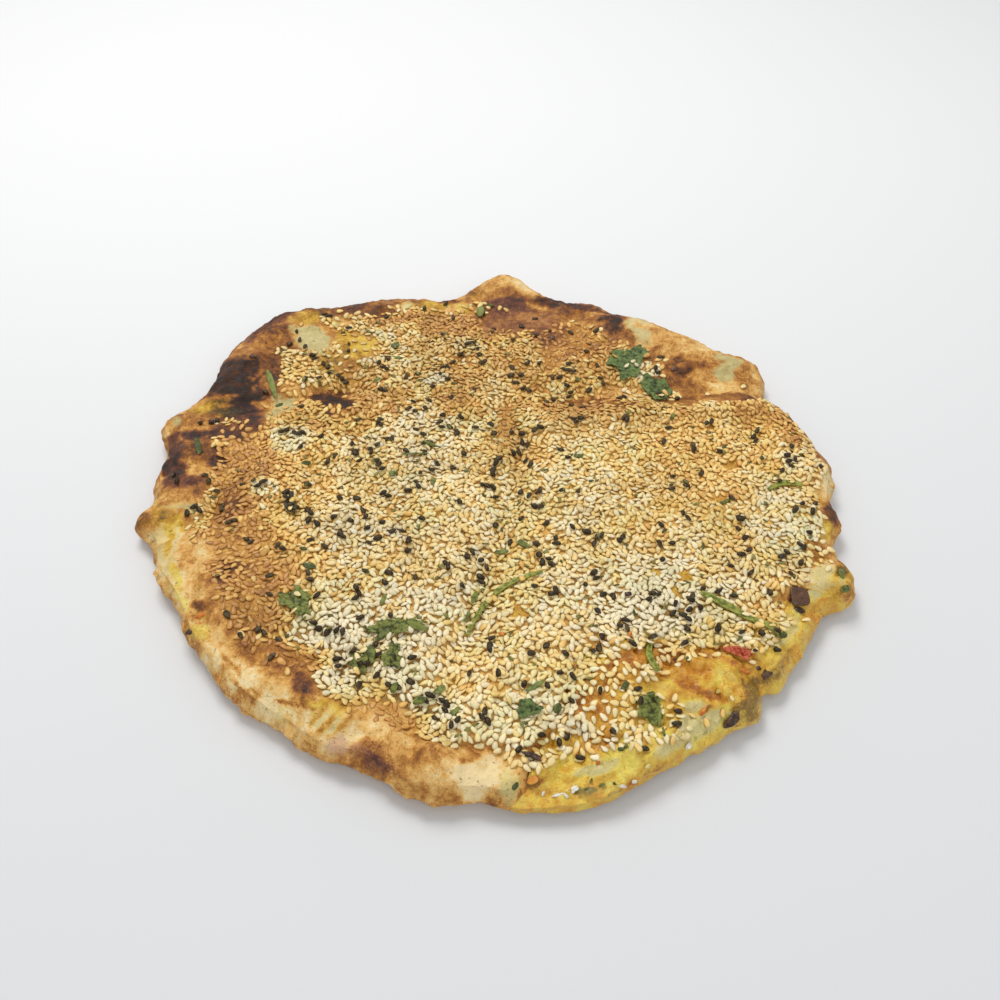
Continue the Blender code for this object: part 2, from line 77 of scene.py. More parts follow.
# %% Outline
RADIUS = 0.1255
OUTLINE = {
    "right edge": (7, 0.0046, 13),
    "right notch": (23, -0.0055, 4.5),
    "back right corner": (31, 0.0082, 6),
    "flap shoulder": (43, 0.0026, 4),
    "flat back": (63, -0.0049, 17),
    "back shoulder": (68, 0.0028, 4),
    "back bump": (88, 0.0112, 7),
    "back dip": (99.5, -0.0044, 6),
    "upper left": (114, 0.0042, 6.5),
    "gold corner": (129.5, 0.0044, 5),
    "charred lobe": (135.5, 0.0155, 11.5),
    "charred shoulder": (149, 0.006, 9),
    "left corner": (164.5, 0.0106, 6),
    "left edge": (177.5, 0.0032, 5),
    "pinched spike": (189, 0.0074, 2.8),
    "lower left": (213, -0.003, 15),
    "lower left flat": (235, -0.0014, 11),
    "left of the puff": (251, -0.0026, 4),
    "bottom puff": (262, 0.0042, 6),
    "puff end": (273, 0.0026, 4.5),
    "near bulge": (286, 0.0062, 12.5),
    "filling bulge": (310, 0.0042, 7),
    "knob bay": (313.5, -0.0044, 2.2),
    "torn side": (321, 0.003, 6),
    "torn bay": (333, -0.0046, 2.4),
    "right bump": (337.5, 0.011, 6),
    "brown knob": (351, 0.0035, 3),
}


def lobes(table, bearing):
    """The sum of named lobes at each bearing in degrees."""
    total = 0
    for at, reach, half in table.values():
        total = total + reach * np.exp(-((((bearing - at + 180) % 360 - 180) / half) ** 2))
    return total


def edge_radius(bearing):
    """How far out the bread reaches at a bearing, from the middle of its round."""
    turn = np.radians(bearing)
    radius = RADIUS + lobes(OUTLINE, bearing) + 0.0006 * np.sin(13 * turn + 1.1)
    return radius + 0.0005 * np.sin(22 * turn + 0.4)


round_line = np.arange(0, 360, 0.5)
line_x = edge_radius(round_line) * np.cos(np.radians(round_line))
line_y = edge_radius(round_line) * np.sin(np.radians(round_line))
CENTRE_X = (line_x.min() + line_x.max()) / 2
CENTRE_Y = (line_y.min() + line_y.max()) / 2
outline_size = (line_x.max() - line_x.min(), line_y.max() - line_y.min())
print("outline in mm", [round(1000 * float(v), 1) for v in outline_size])

# %% [markdown]
# ## The height of the top
#
# The top is a plateau with a puffed rim round it. Where the dough was pulled and folded over the potato
# there are ridges and valleys, and where steam was caught there are blisters. Again each one is a named
# bump, so the relief is a sum that can be asked for at any place. The seeds are laid on it later.

# %% Relief tables
PLATEAU = 0.0125
EDGE_HEIGHT = 0.0052
EDGE_ROUND = 0.015
UNDER_ROUND = 0.021
RIM_INSET = 0.0125
RIM_WIDTH = 0.0095
SIDE_BAND = 0.003

RIM_PUFFS = {
    "right rim": (5, 0.0015, 14),
    "back right flap": (48, 0.0035, 18),
    "back bump": (89, 0.0038, 7),
    "back dip": (102, -0.001, 8),
    "upper left": (122, 0.0035, 12),
    "charred lobe": (147, 0.0055, 9),
    "left corner": (165, 0.002, 6),
    "left edge": (179, 0.0025, 8),
    "lower left": (214, 0.0025, 13),
    "lower left fold": (241, 0.0035, 9),
    "bottom puff": (262, 0.0045, 7),
    "right bump": (337, 0.0015, 6),
    "brown knob": (350, 0.002, 3.5),
}
# Lift (a valley is below nought), half width, then the points of its line
FOLDS = {
    "crest": (0.0022, 0.008, [(0.112, 0.036), (0.084, 0.034), (0.052, 0.031), (0.024, 0.025)]),
    "valley": (-0.003, 0.009, [(0.12, 0.051), (0.088, 0.049), (0.058, 0.045), (0.028, 0.042)]),
    "centre crease": (-0.0026, 0.0055, [(0.011, 0.004), (0.006, -0.027), (-0.003, -0.063), (-0.012, -0.1)]),
    "near groove": (-0.0032, 0.006, [(-0.058, -0.078), (-0.032, -0.097), (-0.013, -0.112), (0.006, -0.12)]),
    "left fold": (-0.004, 0.006, [(-0.128, 0.036), (-0.108, 0.035), (-0.082, 0.04), (-0.055, 0.048)]),
    "spike fold": (-0.003, 0.005, [(-0.128, -0.036), (-0.11, -0.03), (-0.1, -0.02)]),
}
# Centre x, y, half length, half width, turn in degrees, lift
SWELLINGS = {
    "left dome": (-0.045, -0.032, 0.044, 0.034, 20, 0.0014),
    "right dome": (0.06, -0.016, 0.048, 0.034, 0, 0.0014),
    "near dome": (0.03, -0.078, 0.026, 0.02, 20, 0.0012),
    "potato under the upper left": (-0.07, 0.076, 0.02, 0.013, -20, 0.0016),
    "dark oval blister": (-0.063, 0.037, 0.009, 0.004, -8, 0.0016),
    "inner char": (-0.09, 0.027, 0.01, 0.007, 30, 0.0014),
    "lower left blister": (-0.056, -0.097, 0.008, 0.006, -20, 0.0022),
    "lower left knuckle": (-0.073, -0.096, 0.01, 0.006, 40, 0.0016),
    "purple blister": (-0.032, -0.12, 0.012, 0.006, -15, 0.0014),
    "left knuckle": (-0.086, -0.06, 0.011, 0.008, 60, 0.0012),
    "right blister": (0.104, -0.058, 0.0055, 0.005, 0, 0.0022),
    "back blister": (0.08, 0.06, 0.007, 0.004, 0, 0.0012),
    "back ridge": (0.04, 0.09, 0.03, 0.007, -12, 0.0016),
}
LUMPS = {
    "onion slice": (0.06, -0.112, 0.012, 0.006, 28, 0.002),
    "edge onion": (0.047, -0.122, 0.01, 0.005, 12, 0.0016),
    "potato cube": (0.074, -0.096, 0.009, 0.007, 35, 0.0018),
    "near potato": (0.03, -0.108, 0.011, 0.008, 0, 0.0014),
    "browned potato": (0.088, -0.086, 0.011, 0.008, 50, 0.0016),
    "inner potato": (0.04, -0.094, 0.01, 0.007, -30, 0.001),
    "right potato": (0.103, -0.074, 0.008, 0.006, 50, 0.0014),
    "corner crumb": (0.012, -0.122, 0.006, 0.004, 10, 0.0012),
}
print("folds", len(FOLDS), "swellings", len(SWELLINGS), "lumps", len(LUMPS))

# %% Creases
# Finer creases and ridges: lift, half width, the points of the line in millimetres
CREASES = {
    "rim crease": (-0.0011, 0.0024, [(-100, -60), (-86, -80), (-63, -92), (-40, -100)]),
    "rim ridge": (0.001, 0.003, [(-99, -68), (-80, -90), (-55, -104), (-30, -112)]),
    "knuckle 1": (-0.0012, 0.0018, [(-76, -88), (-81, -102)]),
    "knuckle 2": (-0.0012, 0.0018, [(-61, -96), (-66, -110)]),
    "knuckle 3": (-0.0012, 0.0018, [(-48, -101), (-46, -116)]),
    "knuckle 4": (-0.001, 0.0016, [(-36, -106), (-39, -118)]),
    "puff left": (-0.0018, 0.0022, [(-24, -106), (-21, -116), (-22, -130)]),
    "puff back": (-0.0014, 0.0022, [(-22, -112), (-8, -115), (5, -116)]),
    "left crease": (-0.001, 0.002, [(-125, 21), (-109, 27), (-96, 29)]),
    "left dark crease": (-0.0012, 0.0018, [(-122, -3), (-109, 1), (-98, 7)]),
    "left ridge": (0.0009, 0.0022, [(-121, 5), (-112, 12), (-104, 15)]),
    "left blisters": (0.0008, 0.003, [(-101, -38), (-92, -52), (-85, -66)]),
    "left shell": (-0.0009, 0.002, [(-106, -34), (-100, -48), (-97, -62)]),
    "char crease": (-0.0012, 0.002, [(-116, 44), (-104, 50), (-96, 60)]),
    "upper left crease": (-0.0012, 0.0022, [(-90, 78), (-82, 90), (-70, 96)]),
    "upper left ridge": (0.001, 0.0026, [(-98, 66), (-90, 56), (-84, 46)]),
    "potato ridge": (0.0009, 0.0024, [(-78, 88), (-66, 80), (-56, 64)]),
    "back crease": (-0.001, 0.0022, [(-46, 97), (-28, 92), (-8, 94), (8, 88)]),
    "bump left": (-0.0012, 0.0022, [(-10, 98), (-5, 108), (-6, 118)]),
    "bump ridge": (0.0012, 0.0026, [(4, 126), (14, 118), (24, 106)]),
    "bump hollow": (-0.0014, 0.0034, [(-2, 110), (4, 100), (14, 96)]),
    "back wrinkle": (-0.0009, 0.002, [(22, 84), (34, 92), (44, 100)]),
    "flap streak 1": (-0.0005, 0.0013, [(72, 55), (90, 58), (106, 56)]),
    "flap streak 2": (-0.0005, 0.0013, [(74, 63), (88, 67), (100, 66)]),
    "flap streak 3": (0.0005, 0.0014, [(70, 72), (84, 74), (94, 73)]),
    "flap streak 4": (-0.0005, 0.0012, [(80, 48), (96, 49), (110, 46)]),
    "upper crease": (-0.0011, 0.003, [(2, 62), (8, 36), (11, 8)]),
    "left furrow": (-0.0009, 0.0028, [(-60, 44), (-40, 30), (-18, 26), (4, 10)]),
    "lower furrow": (-0.0008, 0.0028, [(-8, -38), (-30, -50), (-52, -54)]),
    "right furrow": (-0.0007, 0.003, [(12, -26), (40, -40), (70, -44)]),
    "knob crease": (-0.0012, 0.002, [(126, -12), (117, -18), (112, -26)]),
    "bump crease": (-0.0012, 0.002, [(122, -42), (112, -46), (104, -50)]),
}
print("creases", len(CREASES))


# %% Helpers for bumps, lines and unevenness
def smooth(share):
    """Eases from 0 to 1 as share goes from 0 to 1."""
    share = np.clip(share, 0, 1)
    return share * share * (3 - 2 * share)


def rounded(share):
    """A quarter round: 0 at the edge, 1 from share 1 inwards."""
    return np.sqrt(np.clip(1 - (1 - np.clip(share, 0, 1)) ** 2, 0, 1))


def oval_distance(x, y, centre_x, centre_y, half_length, half_width, turn):
    """How many half axes a place lies from the middle of a turned oval."""
    c, s = math.cos(math.radians(turn)), math.sin(math.radians(turn))
    along = ((x - centre_x) * c + (y - centre_y) * s) / half_length
    across = (-(x - centre_x) * s + (y - centre_y) * c) / half_width
    return np.hypot(along, across)


def line_distance(x, y, points):
    """The distance from each place to a line of straight runs."""
    best = np.full(np.shape(x), np.inf)
    for (ax, ay), (bx, by) in zip(points, points[1:]):
        run = (bx - ax) ** 2 + (by - ay) ** 2
        t = np.clip(((x - ax) * (bx - ax) + (y - ay) * (by - ay)) / run, 0, 1)
        best = np.minimum(best, np.hypot(x - ax - t * (bx - ax), y - ay - t * (by - ay)))
    return best


def noise(x, y, size, seed):
    """Soft unevenness from -1 to 1, with lumps about size across."""
    lattice = np.random.default_rng(seed).uniform(-1, 1, (256, 256))
    c, s = math.cos(seed), math.sin(seed)
    u, v = (x * c - y * s) / size + 100, (x * s + y * c) / size + 100
    i, j = np.floor(u).astype(int), np.floor(v).astype(int)
    a, b = smooth(u - i), smooth(v - j)
    i, j, i2, j2 = i % 256, j % 256, (i + 1) % 256, (j + 1) % 256
    low = lattice[i, j] * (1 - a) + lattice[i2, j] * a
    high = lattice[i, j2] * (1 - a) + lattice[i2, j2] * a
    return low * (1 - b) + high * b


def rough_noise(x, y, size, seed, octaves=3):
    """Noise with finer noise on it, each octave half as large and half as strong."""
    return sum(noise(x, y, size / 2**k, seed + k) / 2**k for k in range(octaves))


print("noise at the middle", round(float(rough_noise(np.zeros(1), np.zeros(1), 0.01, 1)[0]), 3))


# %% Height of the dough
def inside_edge(x, y):
    """The bearing of a place from the middle of the round, and how far in from the outline it is."""
    bearing = np.degrees(np.arctan2(y + CENTRE_Y, x + CENTRE_X)) % 360
    return bearing, edge_radius(bearing) - np.hypot(x + CENTRE_X, y + CENTRE_Y)


def blisters(x, y, inside):
    """The small unevenness of the top: bubbles that stand close, stronger near the rim."""
    near_rim = np.exp(-((inside / 0.026) ** 2))
    wide = rough_noise(x, y, 0.010, 11) * (0.00035 + 0.00050 * near_rim)
    bubbles = (0.3 - np.abs(rough_noise(x, y, 0.0055, 15))) * (0.0002 + 0.0012 * near_rim)
    return wide + bubbles + 0.00018 * noise(x, y, 0.0021, 21) * (0.6 + near_rim)


SOFT_TOP, TALLEST = 0.0150, 0.0172  # heights over the first are pressed to stay under the second


def open_height(x, y):
    """The height that the top has before its edge is rounded down to the side."""
    bearing, inside = inside_edge(x, y)
    rim = np.exp(-(((inside - RIM_INSET) / RIM_WIDTH) ** 2))
    height = PLATEAU + lobes(RIM_PUFFS, bearing) * rim
    height = height + 0.0007 * np.sin(150 * x + 40 * y + 1.3) * np.sin(165 * y - 30 * x + 0.4)
    for lift, half, points in FOLDS.values():
        height = height + lift * np.exp(-((line_distance(x, y, points) / half) ** 2))
    for *oval, lift in SWELLINGS.values():
        height = height + lift * np.exp(-(oval_distance(x, y, *oval) ** 2))
    for lift, half, points in CREASES.values():
        line = [(px * MM, py * MM) for px, py in points]
        height = height + lift * np.exp(-((line_distance(x, y, line) / half) ** 2))
    height = height + blisters(x, y, inside)
    over = np.maximum(height - SOFT_TOP, 0)
    return np.minimum(height, SOFT_TOP) + (TALLEST - SOFT_TOP) * np.tanh(over / (TALLEST - SOFT_TOP))


def edge_line_height(bearing):
    """The height of the widest line of the side."""
    turn = np.radians(bearing)
    return EDGE_HEIGHT + 0.0009 * np.sin(5 * turn + 2.0) + 0.0006 * np.sin(9 * turn)


print("height at the middle in mm", round(1000 * float(open_height(np.zeros(1), np.zeros(1))[0]), 2))

# %% [markdown]
# ## The tear
#
# At the near right the top dough tore in the oven and the potato lies bare. The torn edge is a line given by
# bearing, too: it opens, runs a few centimetres inside the outline and closes again. The dough thins out
# towards it, so close to the line the top sinks until only a film lies over the potato.

# %% Torn edge
TEAR_DEPTH = 0.047
TEAR_LEFT = (272.5, 291)
TEAR_RIGHT = (303, 337)
TEAR_PAST = 0.003
FILM_REACH = 0.007
FILM_DROP = 0.0011
PUFF_END = 288  # the bearing at which the near puff has ended
PUFF_EASE = 8  # degrees that it takes to end
PUFF_FALL = 0.0030
POTATO_LOW = 0.0005  # how far the potato lies under the film
FLOOR_DOUGH = 0.0030


def tear_edge(bearing):
    """How far out the torn edge of the top dough runs."""
    opening = np.interp(bearing, TEAR_LEFT, (0, 1))
    closing = np.interp(bearing, TEAR_RIGHT, (1, 0))
    depth = TEAR_DEPTH * np.sin(opening * math.pi / 2) * (1 - (1 - closing) ** 1.5)
    turn = np.radians(bearing)
    ragged = 0.0014 * np.sin(17 * turn) + 0.0008 * np.sin(41 * turn) + 0.0007 * np.sin(97 * turn + 1)
    return edge_radius(bearing) + TEAR_PAST - depth + ragged


print("tear at 300 degrees in mm", round(1000 * float(tear_edge(300.0)), 1))

# %% Lumps in the mash
# Steep-sided lumps in the mash, in millimetres: x, y, half length, half width, turn, then lift in metres
MASH_LUMPS = {
    "clear potato": (64, -91, 7, 5, 15, 0.0011),
    "pale cube": (64, -99, 4.2, 3.8, 35, 0.0012),
    "golden cube": (76, -93, 6, 4.5, 40, 0.0012),
    "brown knob": (80, -101, 4.6, 4.2, 20, 0.0015),
    "orange mash": (50, -87, 6, 3.6, 0, 0.0008),
    "yellow strip": (42, -118, 6, 3, 50, 0.0012),
    "near lump": (30, -117, 5, 4, 10, 0.001),
    "corner lump": (17, -122, 4.5, 4, 0, 0.0012),
    "yellow corner": (7, -123, 3, 3.2, 0, 0.001),
    "edge lump": (91, -84, 5, 3.5, 55, 0.001),
    "inner lump": (38, -99, 5, 6, 0, 0.0008),
    "bay lump": (24, -108, 5, 4, 30, 0.0008),
}
print("lumps in the mash", len(MASH_LUMPS))


# %% Heights by the tear
def past_tear(x, y):
    """How far a place lies beyond the torn edge, in metres. On the dough it is below nought."""
    bearing = inside_edge(x, y)[0]
    beyond = np.hypot(x + CENTRE_X, y + CENTRE_Y) - tear_edge(bearing)
    return np.where((bearing > TEAR_LEFT[0]) & (bearing < TEAR_RIGHT[1]), beyond, -1)


def on_puff(x, y):
    """1 at the bearings of the near puff, 0 past its end."""
    return smooth((PUFF_END - inside_edge(x, y)[0]) / PUFF_EASE)


def crown_height(x, y):
    """The top of the dough with its thinning towards the tear, rounder where the near puff ends."""
    film = smooth(1 + past_tear(x, y) / FILM_REACH)
    return open_height(x, y) - FILM_DROP * film - PUFF_FALL * on_puff(x, y) * film**2


def potato_height(x, y):
    """The top of the bare potato: lumps of potato and onion in a softer mash."""
    height = open_height(x, y) - FILM_DROP - POTATO_LOW - PUFF_FALL * on_puff(x, y)
    for *oval, lift in LUMPS.values():
        height = height + lift * np.exp(-(oval_distance(x, y, *oval) ** 2))
    for px, py, half_length, half_width, turn, lift in MASH_LUMPS.values():
        far = oval_distance(x, y, px * MM, py * MM, half_length * MM, half_width * MM, turn)
        height = height + lift * np.exp(-(far**4))
    chunks = np.abs(rough_noise(x, y, 0.0068, 61))
    return height + 0.0026 * (chunks - 0.25) + 0.0003 * noise(x, y, 0.0016, 63)


def down_to_side(crown, bearing, inside):
    """Rounds a height down to the side over the last stretch before the outline."""
    edge = edge_line_height(bearing)
    return edge + (crown - edge) * rounded(inside / EDGE_ROUND)


in_the_tear = (np.array([0.06]), np.array([-0.1]))
print("potato in the tear in mm", round(1000 * float(potato_height(*in_the_tear)[0]), 2))

# %% [markdown]
# ## Making the dough
#
# A dense grid is the blank. Its border is extruded down in three steps and then drawn in under the bread,
# and one face closes it, which is the flat that the bread rests on. All this is done on a square of side
# two, and then every vertex is sent to its place on the round: the square's rings become the bread's rings.
# A modelling grid keeps even cells over the whole top, which a fan of wedges would not.

# %% The blank
DOUGH_CELLS = 268
WALL_STEPS = 3
UNDER_SHARES = (0.985, 0.965, 0.94, 0.91, 0.87, 0.82)


def face_outwards():
    """Turns all faces of the active piece outwards."""
    bpy.ops.object.mode_set(mode="EDIT")
    bpy.ops.mesh.select_all(action="SELECT")
    bpy.ops.mesh.normals_make_consistent(inside=False)
    bpy.ops.object.mode_set(mode="OBJECT")


def blank(name, across, deep, rings=()):
    """A grid of two units a side at level 1, its border drawn down to level -1, inwards, and shut."""
    bpy.ops.mesh.primitive_grid_add(x_subdivisions=across, y_subdivisions=deep, size=2)
    piece = bpy.context.object
    piece.name = name
    piece.data.name = name
    bpy.ops.object.mode_set(mode="EDIT")
    bpy.ops.mesh.select_mode(type="EDGE")
    bpy.ops.transform.translate(value=(0, 0, 1))
    bpy.ops.mesh.select_all(action="DESELECT")
    bpy.ops.mesh.select_non_manifold()
    for _ in range(WALL_STEPS):
        bpy.ops.mesh.extrude_region_move(TRANSFORM_OT_translate={"value": (0, 0, -2 / WALL_STEPS)})
    before = 1
    for share in rings:
        bpy.ops.mesh.extrude_region_move()
        bpy.ops.transform.resize(value=(share / before, share / before, 1), center_override=(0, 0, 0))
        before = share
    bpy.ops.mesh.edge_face_add()
    face_outwards()
    return piece


def places(piece):
    """The vertices of a piece as an array."""
    flat = np.empty(len(piece.data.vertices) * 3, np.float32)
    piece.data.vertices.foreach_get("co", flat)
    return flat.reshape(-1, 3).astype(float)


def put_places(piece, x, y, z):
    """Sends the vertices of a piece to new places."""
    piece.data.vertices.foreach_set("co", np.stack([x, y, z], 1).astype(np.float32).ravel())
    piece.data.update()


def square_to_round(u, v):
    """The ring of a place on the square, 0 to 1, and its bearing on the round."""
    ring = np.maximum(abs(u), abs(v))
    safe = np.where(ring > 0, ring, 1)
    sideways = np.where(u < 0, 180, 0) + 45 * np.sign(u) * v / safe
    upright = 90 * np.sign(v) - 45 * np.sign(v) * u / safe
    return ring, np.where(abs(u) >= abs(v), sideways, upright)


dough = blank("baked_dough", DOUGH_CELLS, DOUGH_CELLS, UNDER_SHARES)
print("blank", len(dough.data.polygons), "faces")

# %% [markdown]
# The rings are drawn a little closer together towards the rim, where the blisters and creases are small.
# The side gets its own unevenness, always inwards, so the bread never grows past its outline.

# %% Shaping the blank
RING_DRAW = 0.25  # how much closer the rings lie at the rim
SIDE_UNEVEN = 0.0010


def shape_bread(piece, crown_of):
    """Sends a square blank to the round, with a top of a given height."""
    u, v, level = places(piece).T
    ring, bearing = square_to_round(u, v)
    on_side = ring > 1 - 1e-6
    share = np.where(level > 0.99, ring + RING_DRAW * np.sin(math.pi * ring) / math.pi, ring)
    reach = edge_radius(bearing)
    distance = np.where(on_side, reach - SIDE_BAND * level**2, share * (reach - SIDE_BAND))
    x = distance * np.cos(np.radians(bearing)) - CENTRE_X
    y = distance * np.sin(np.radians(bearing)) - CENTRE_Y
    inside = reach - distance
    top = down_to_side(crown_of(x, y), bearing % 360, inside)
    under = edge_line_height(bearing) * (1 - rounded(inside / UNDER_ROUND))
    z = np.where(level >= 0, top, under)
    pull = 1 - on_side * SIDE_UNEVEN * (1 + rough_noise(x + z, y - z, 0.006, 31)) / distance.clip(0.05)
    put_places(piece, x * pull, y * pull, z)


shape_bread(dough, crown_height)
print("dough in mm", [round(1000 * float(v), 1) for v in np.ptp(places(dough), axis=0)])

# %% [markdown]
# ## The pocket and the tear
#
# Two cutters are taken from the dough: a low disc for the potato layer that runs through the bread, and a
# wedge over the tear. The layer follows the lowest dough near it, so no fold cuts into it.

# %% Cutters
TOP_DOUGH = 0.0026
LAYER_RADIUS = 0.106
LAYER_LEAST = 0.0015
LAYER_SMOOTH = 0.008
GAP = 0.0003
LAYER_CELLS = 12
TEAR_POINTS = 340
HIGH = 0.04


def potato_layer(name, inset):
    """The potato inside the bread: a low disc, drawn in by an inset."""
    piece = blank(name, LAYER_CELLS, LAYER_CELLS)
    u, v, level = places(piece).T
    ring, bearing = square_to_round(u, v)
    x = ring * (LAYER_RADIUS - inset) * np.cos(np.radians(bearing)) - CENTRE_X
    y = ring * (LAYER_RADIUS - inset) * np.sin(np.radians(bearing)) - CENTRE_Y
    round_about = [(x, y)]
    round_about += [(x + LAYER_SMOOTH * math.cos(a), y + LAYER_SMOOTH * math.sin(a)) for a in range(7)]
    crown = np.minimum.reduce([open_height(*place) for place in round_about]) - TOP_DOUGH
    top = np.maximum(crown, FLOOR_DOUGH + LAYER_LEAST) - inset
    low = FLOOR_DOUGH + inset
    put_places(piece, x, y, low + (top - low) * (level + 1) / 2)
    return piece


def tear_wedge(name, inset, low):
    """The space over the tear, from low upwards, its inner edge moved out by an inset."""
    bpy.ops.mesh.primitive_circle_add(vertices=TEAR_POINTS, fill_type="NGON")
    piece = bpy.context.object
    piece.name = name
    half = TEAR_POINTS // 2
    bearing = np.linspace(TEAR_LEFT[0], TEAR_RIGHT[1], half)
    distance = np.concatenate([tear_edge(bearing) + inset, edge_radius(bearing[::-1]) + 4 * TEAR_PAST])
    turn = np.radians(np.concatenate([bearing, bearing[::-1]]))
    put_places(
        piece,
        distance * np.cos(turn) - CENTRE_X,
        distance * np.sin(turn) - CENTRE_Y,
        np.full(TEAR_POINTS, low),
    )
    bpy.ops.object.mode_set(mode="EDIT")
    bpy.ops.mesh.select_all(action="SELECT")
    bpy.ops.mesh.extrude_region_move(TRANSFORM_OT_translate={"value": (0, 0, HIGH - low)})
    face_outwards()
    return piece


def make_active(piece):
    """Makes a piece the one that operators work on."""
    bpy.ops.object.select_all(action="DESELECT")
    piece.select_set(True)
    bpy.context.view_layer.objects.active = piece


def combine(piece, operation, other):
    """Cuts a piece with another or joins the two, and takes the other away."""
    make_active(piece)
    modifier = piece.modifiers.new(operation.title(), "BOOLEAN")
    modifier.operation = operation
    modifier.solver = "MANIFOLD"
    modifier.object = other
    bpy.ops.object.modifier_apply(modifier=modifier.name)
    bpy.data.objects.remove(other)


combine(dough, "DIFFERENCE", potato_layer("layer_cutter", 0))
combine(dough, "DIFFERENCE", tear_wedge("tear_cutter", 0, FLOOR_DOUGH - GAP))
print("dough", len(dough.data.polygons), "faces after the cuts")

# %% [markdown]
# ## The bare potato
#
# The potato in the tear is a blank of its own. Its width runs along the tear by bearing and its depth from
# under the torn edge out to the outline. The layer inside the bread is joined to it.

# %% Bare potato
POTATO_CELLS = (230, 90)
POTATO_UNDER = 0.0006  # how far it reaches under the torn edge
POTATO_UNEVEN = 0.0009

potato = blank("spiced_potato", *POTATO_CELLS)
u, v, level = places(potato).T
bearing = TEAR_LEFT[0] + 0.5 + (TEAR_RIGHT[1] - TEAR_LEFT[0] - 1) * (u + 1) / 2
on_side = v < -1 + 1e-6
reach = edge_radius(bearing) - np.where(on_side, SIDE_BAND * level**2, SIDE_BAND)
inner = np.minimum(tear_edge(bearing) - POTATO_UNDER, reach - 0.0008)
distance = inner + (reach - inner) * (1 - v) / 2
x = distance * np.cos(np.radians(bearing)) - CENTRE_X
y = distance * np.sin(np.radians(bearing)) - CENTRE_Y
top = down_to_side(potato_height(x, y), bearing, edge_radius(bearing) - distance)
z = np.where(level >= 0, np.maximum(top, FLOOR_DOUGH + 0.0002), FLOOR_DOUGH)
near_side = smooth(1 - (edge_radius(bearing) - distance) / 0.008)
pull = 1 - near_side * POTATO_UNEVEN * (0.6 + rough_noise(x + z, y - z, 0.0075, 33)) / distance
put_places(potato, x * pull, y * pull, z)
face_outwards()
combine(potato, "UNION", potato_layer("layer", GAP))
print("potato", len(potato.data.polygons), "faces")
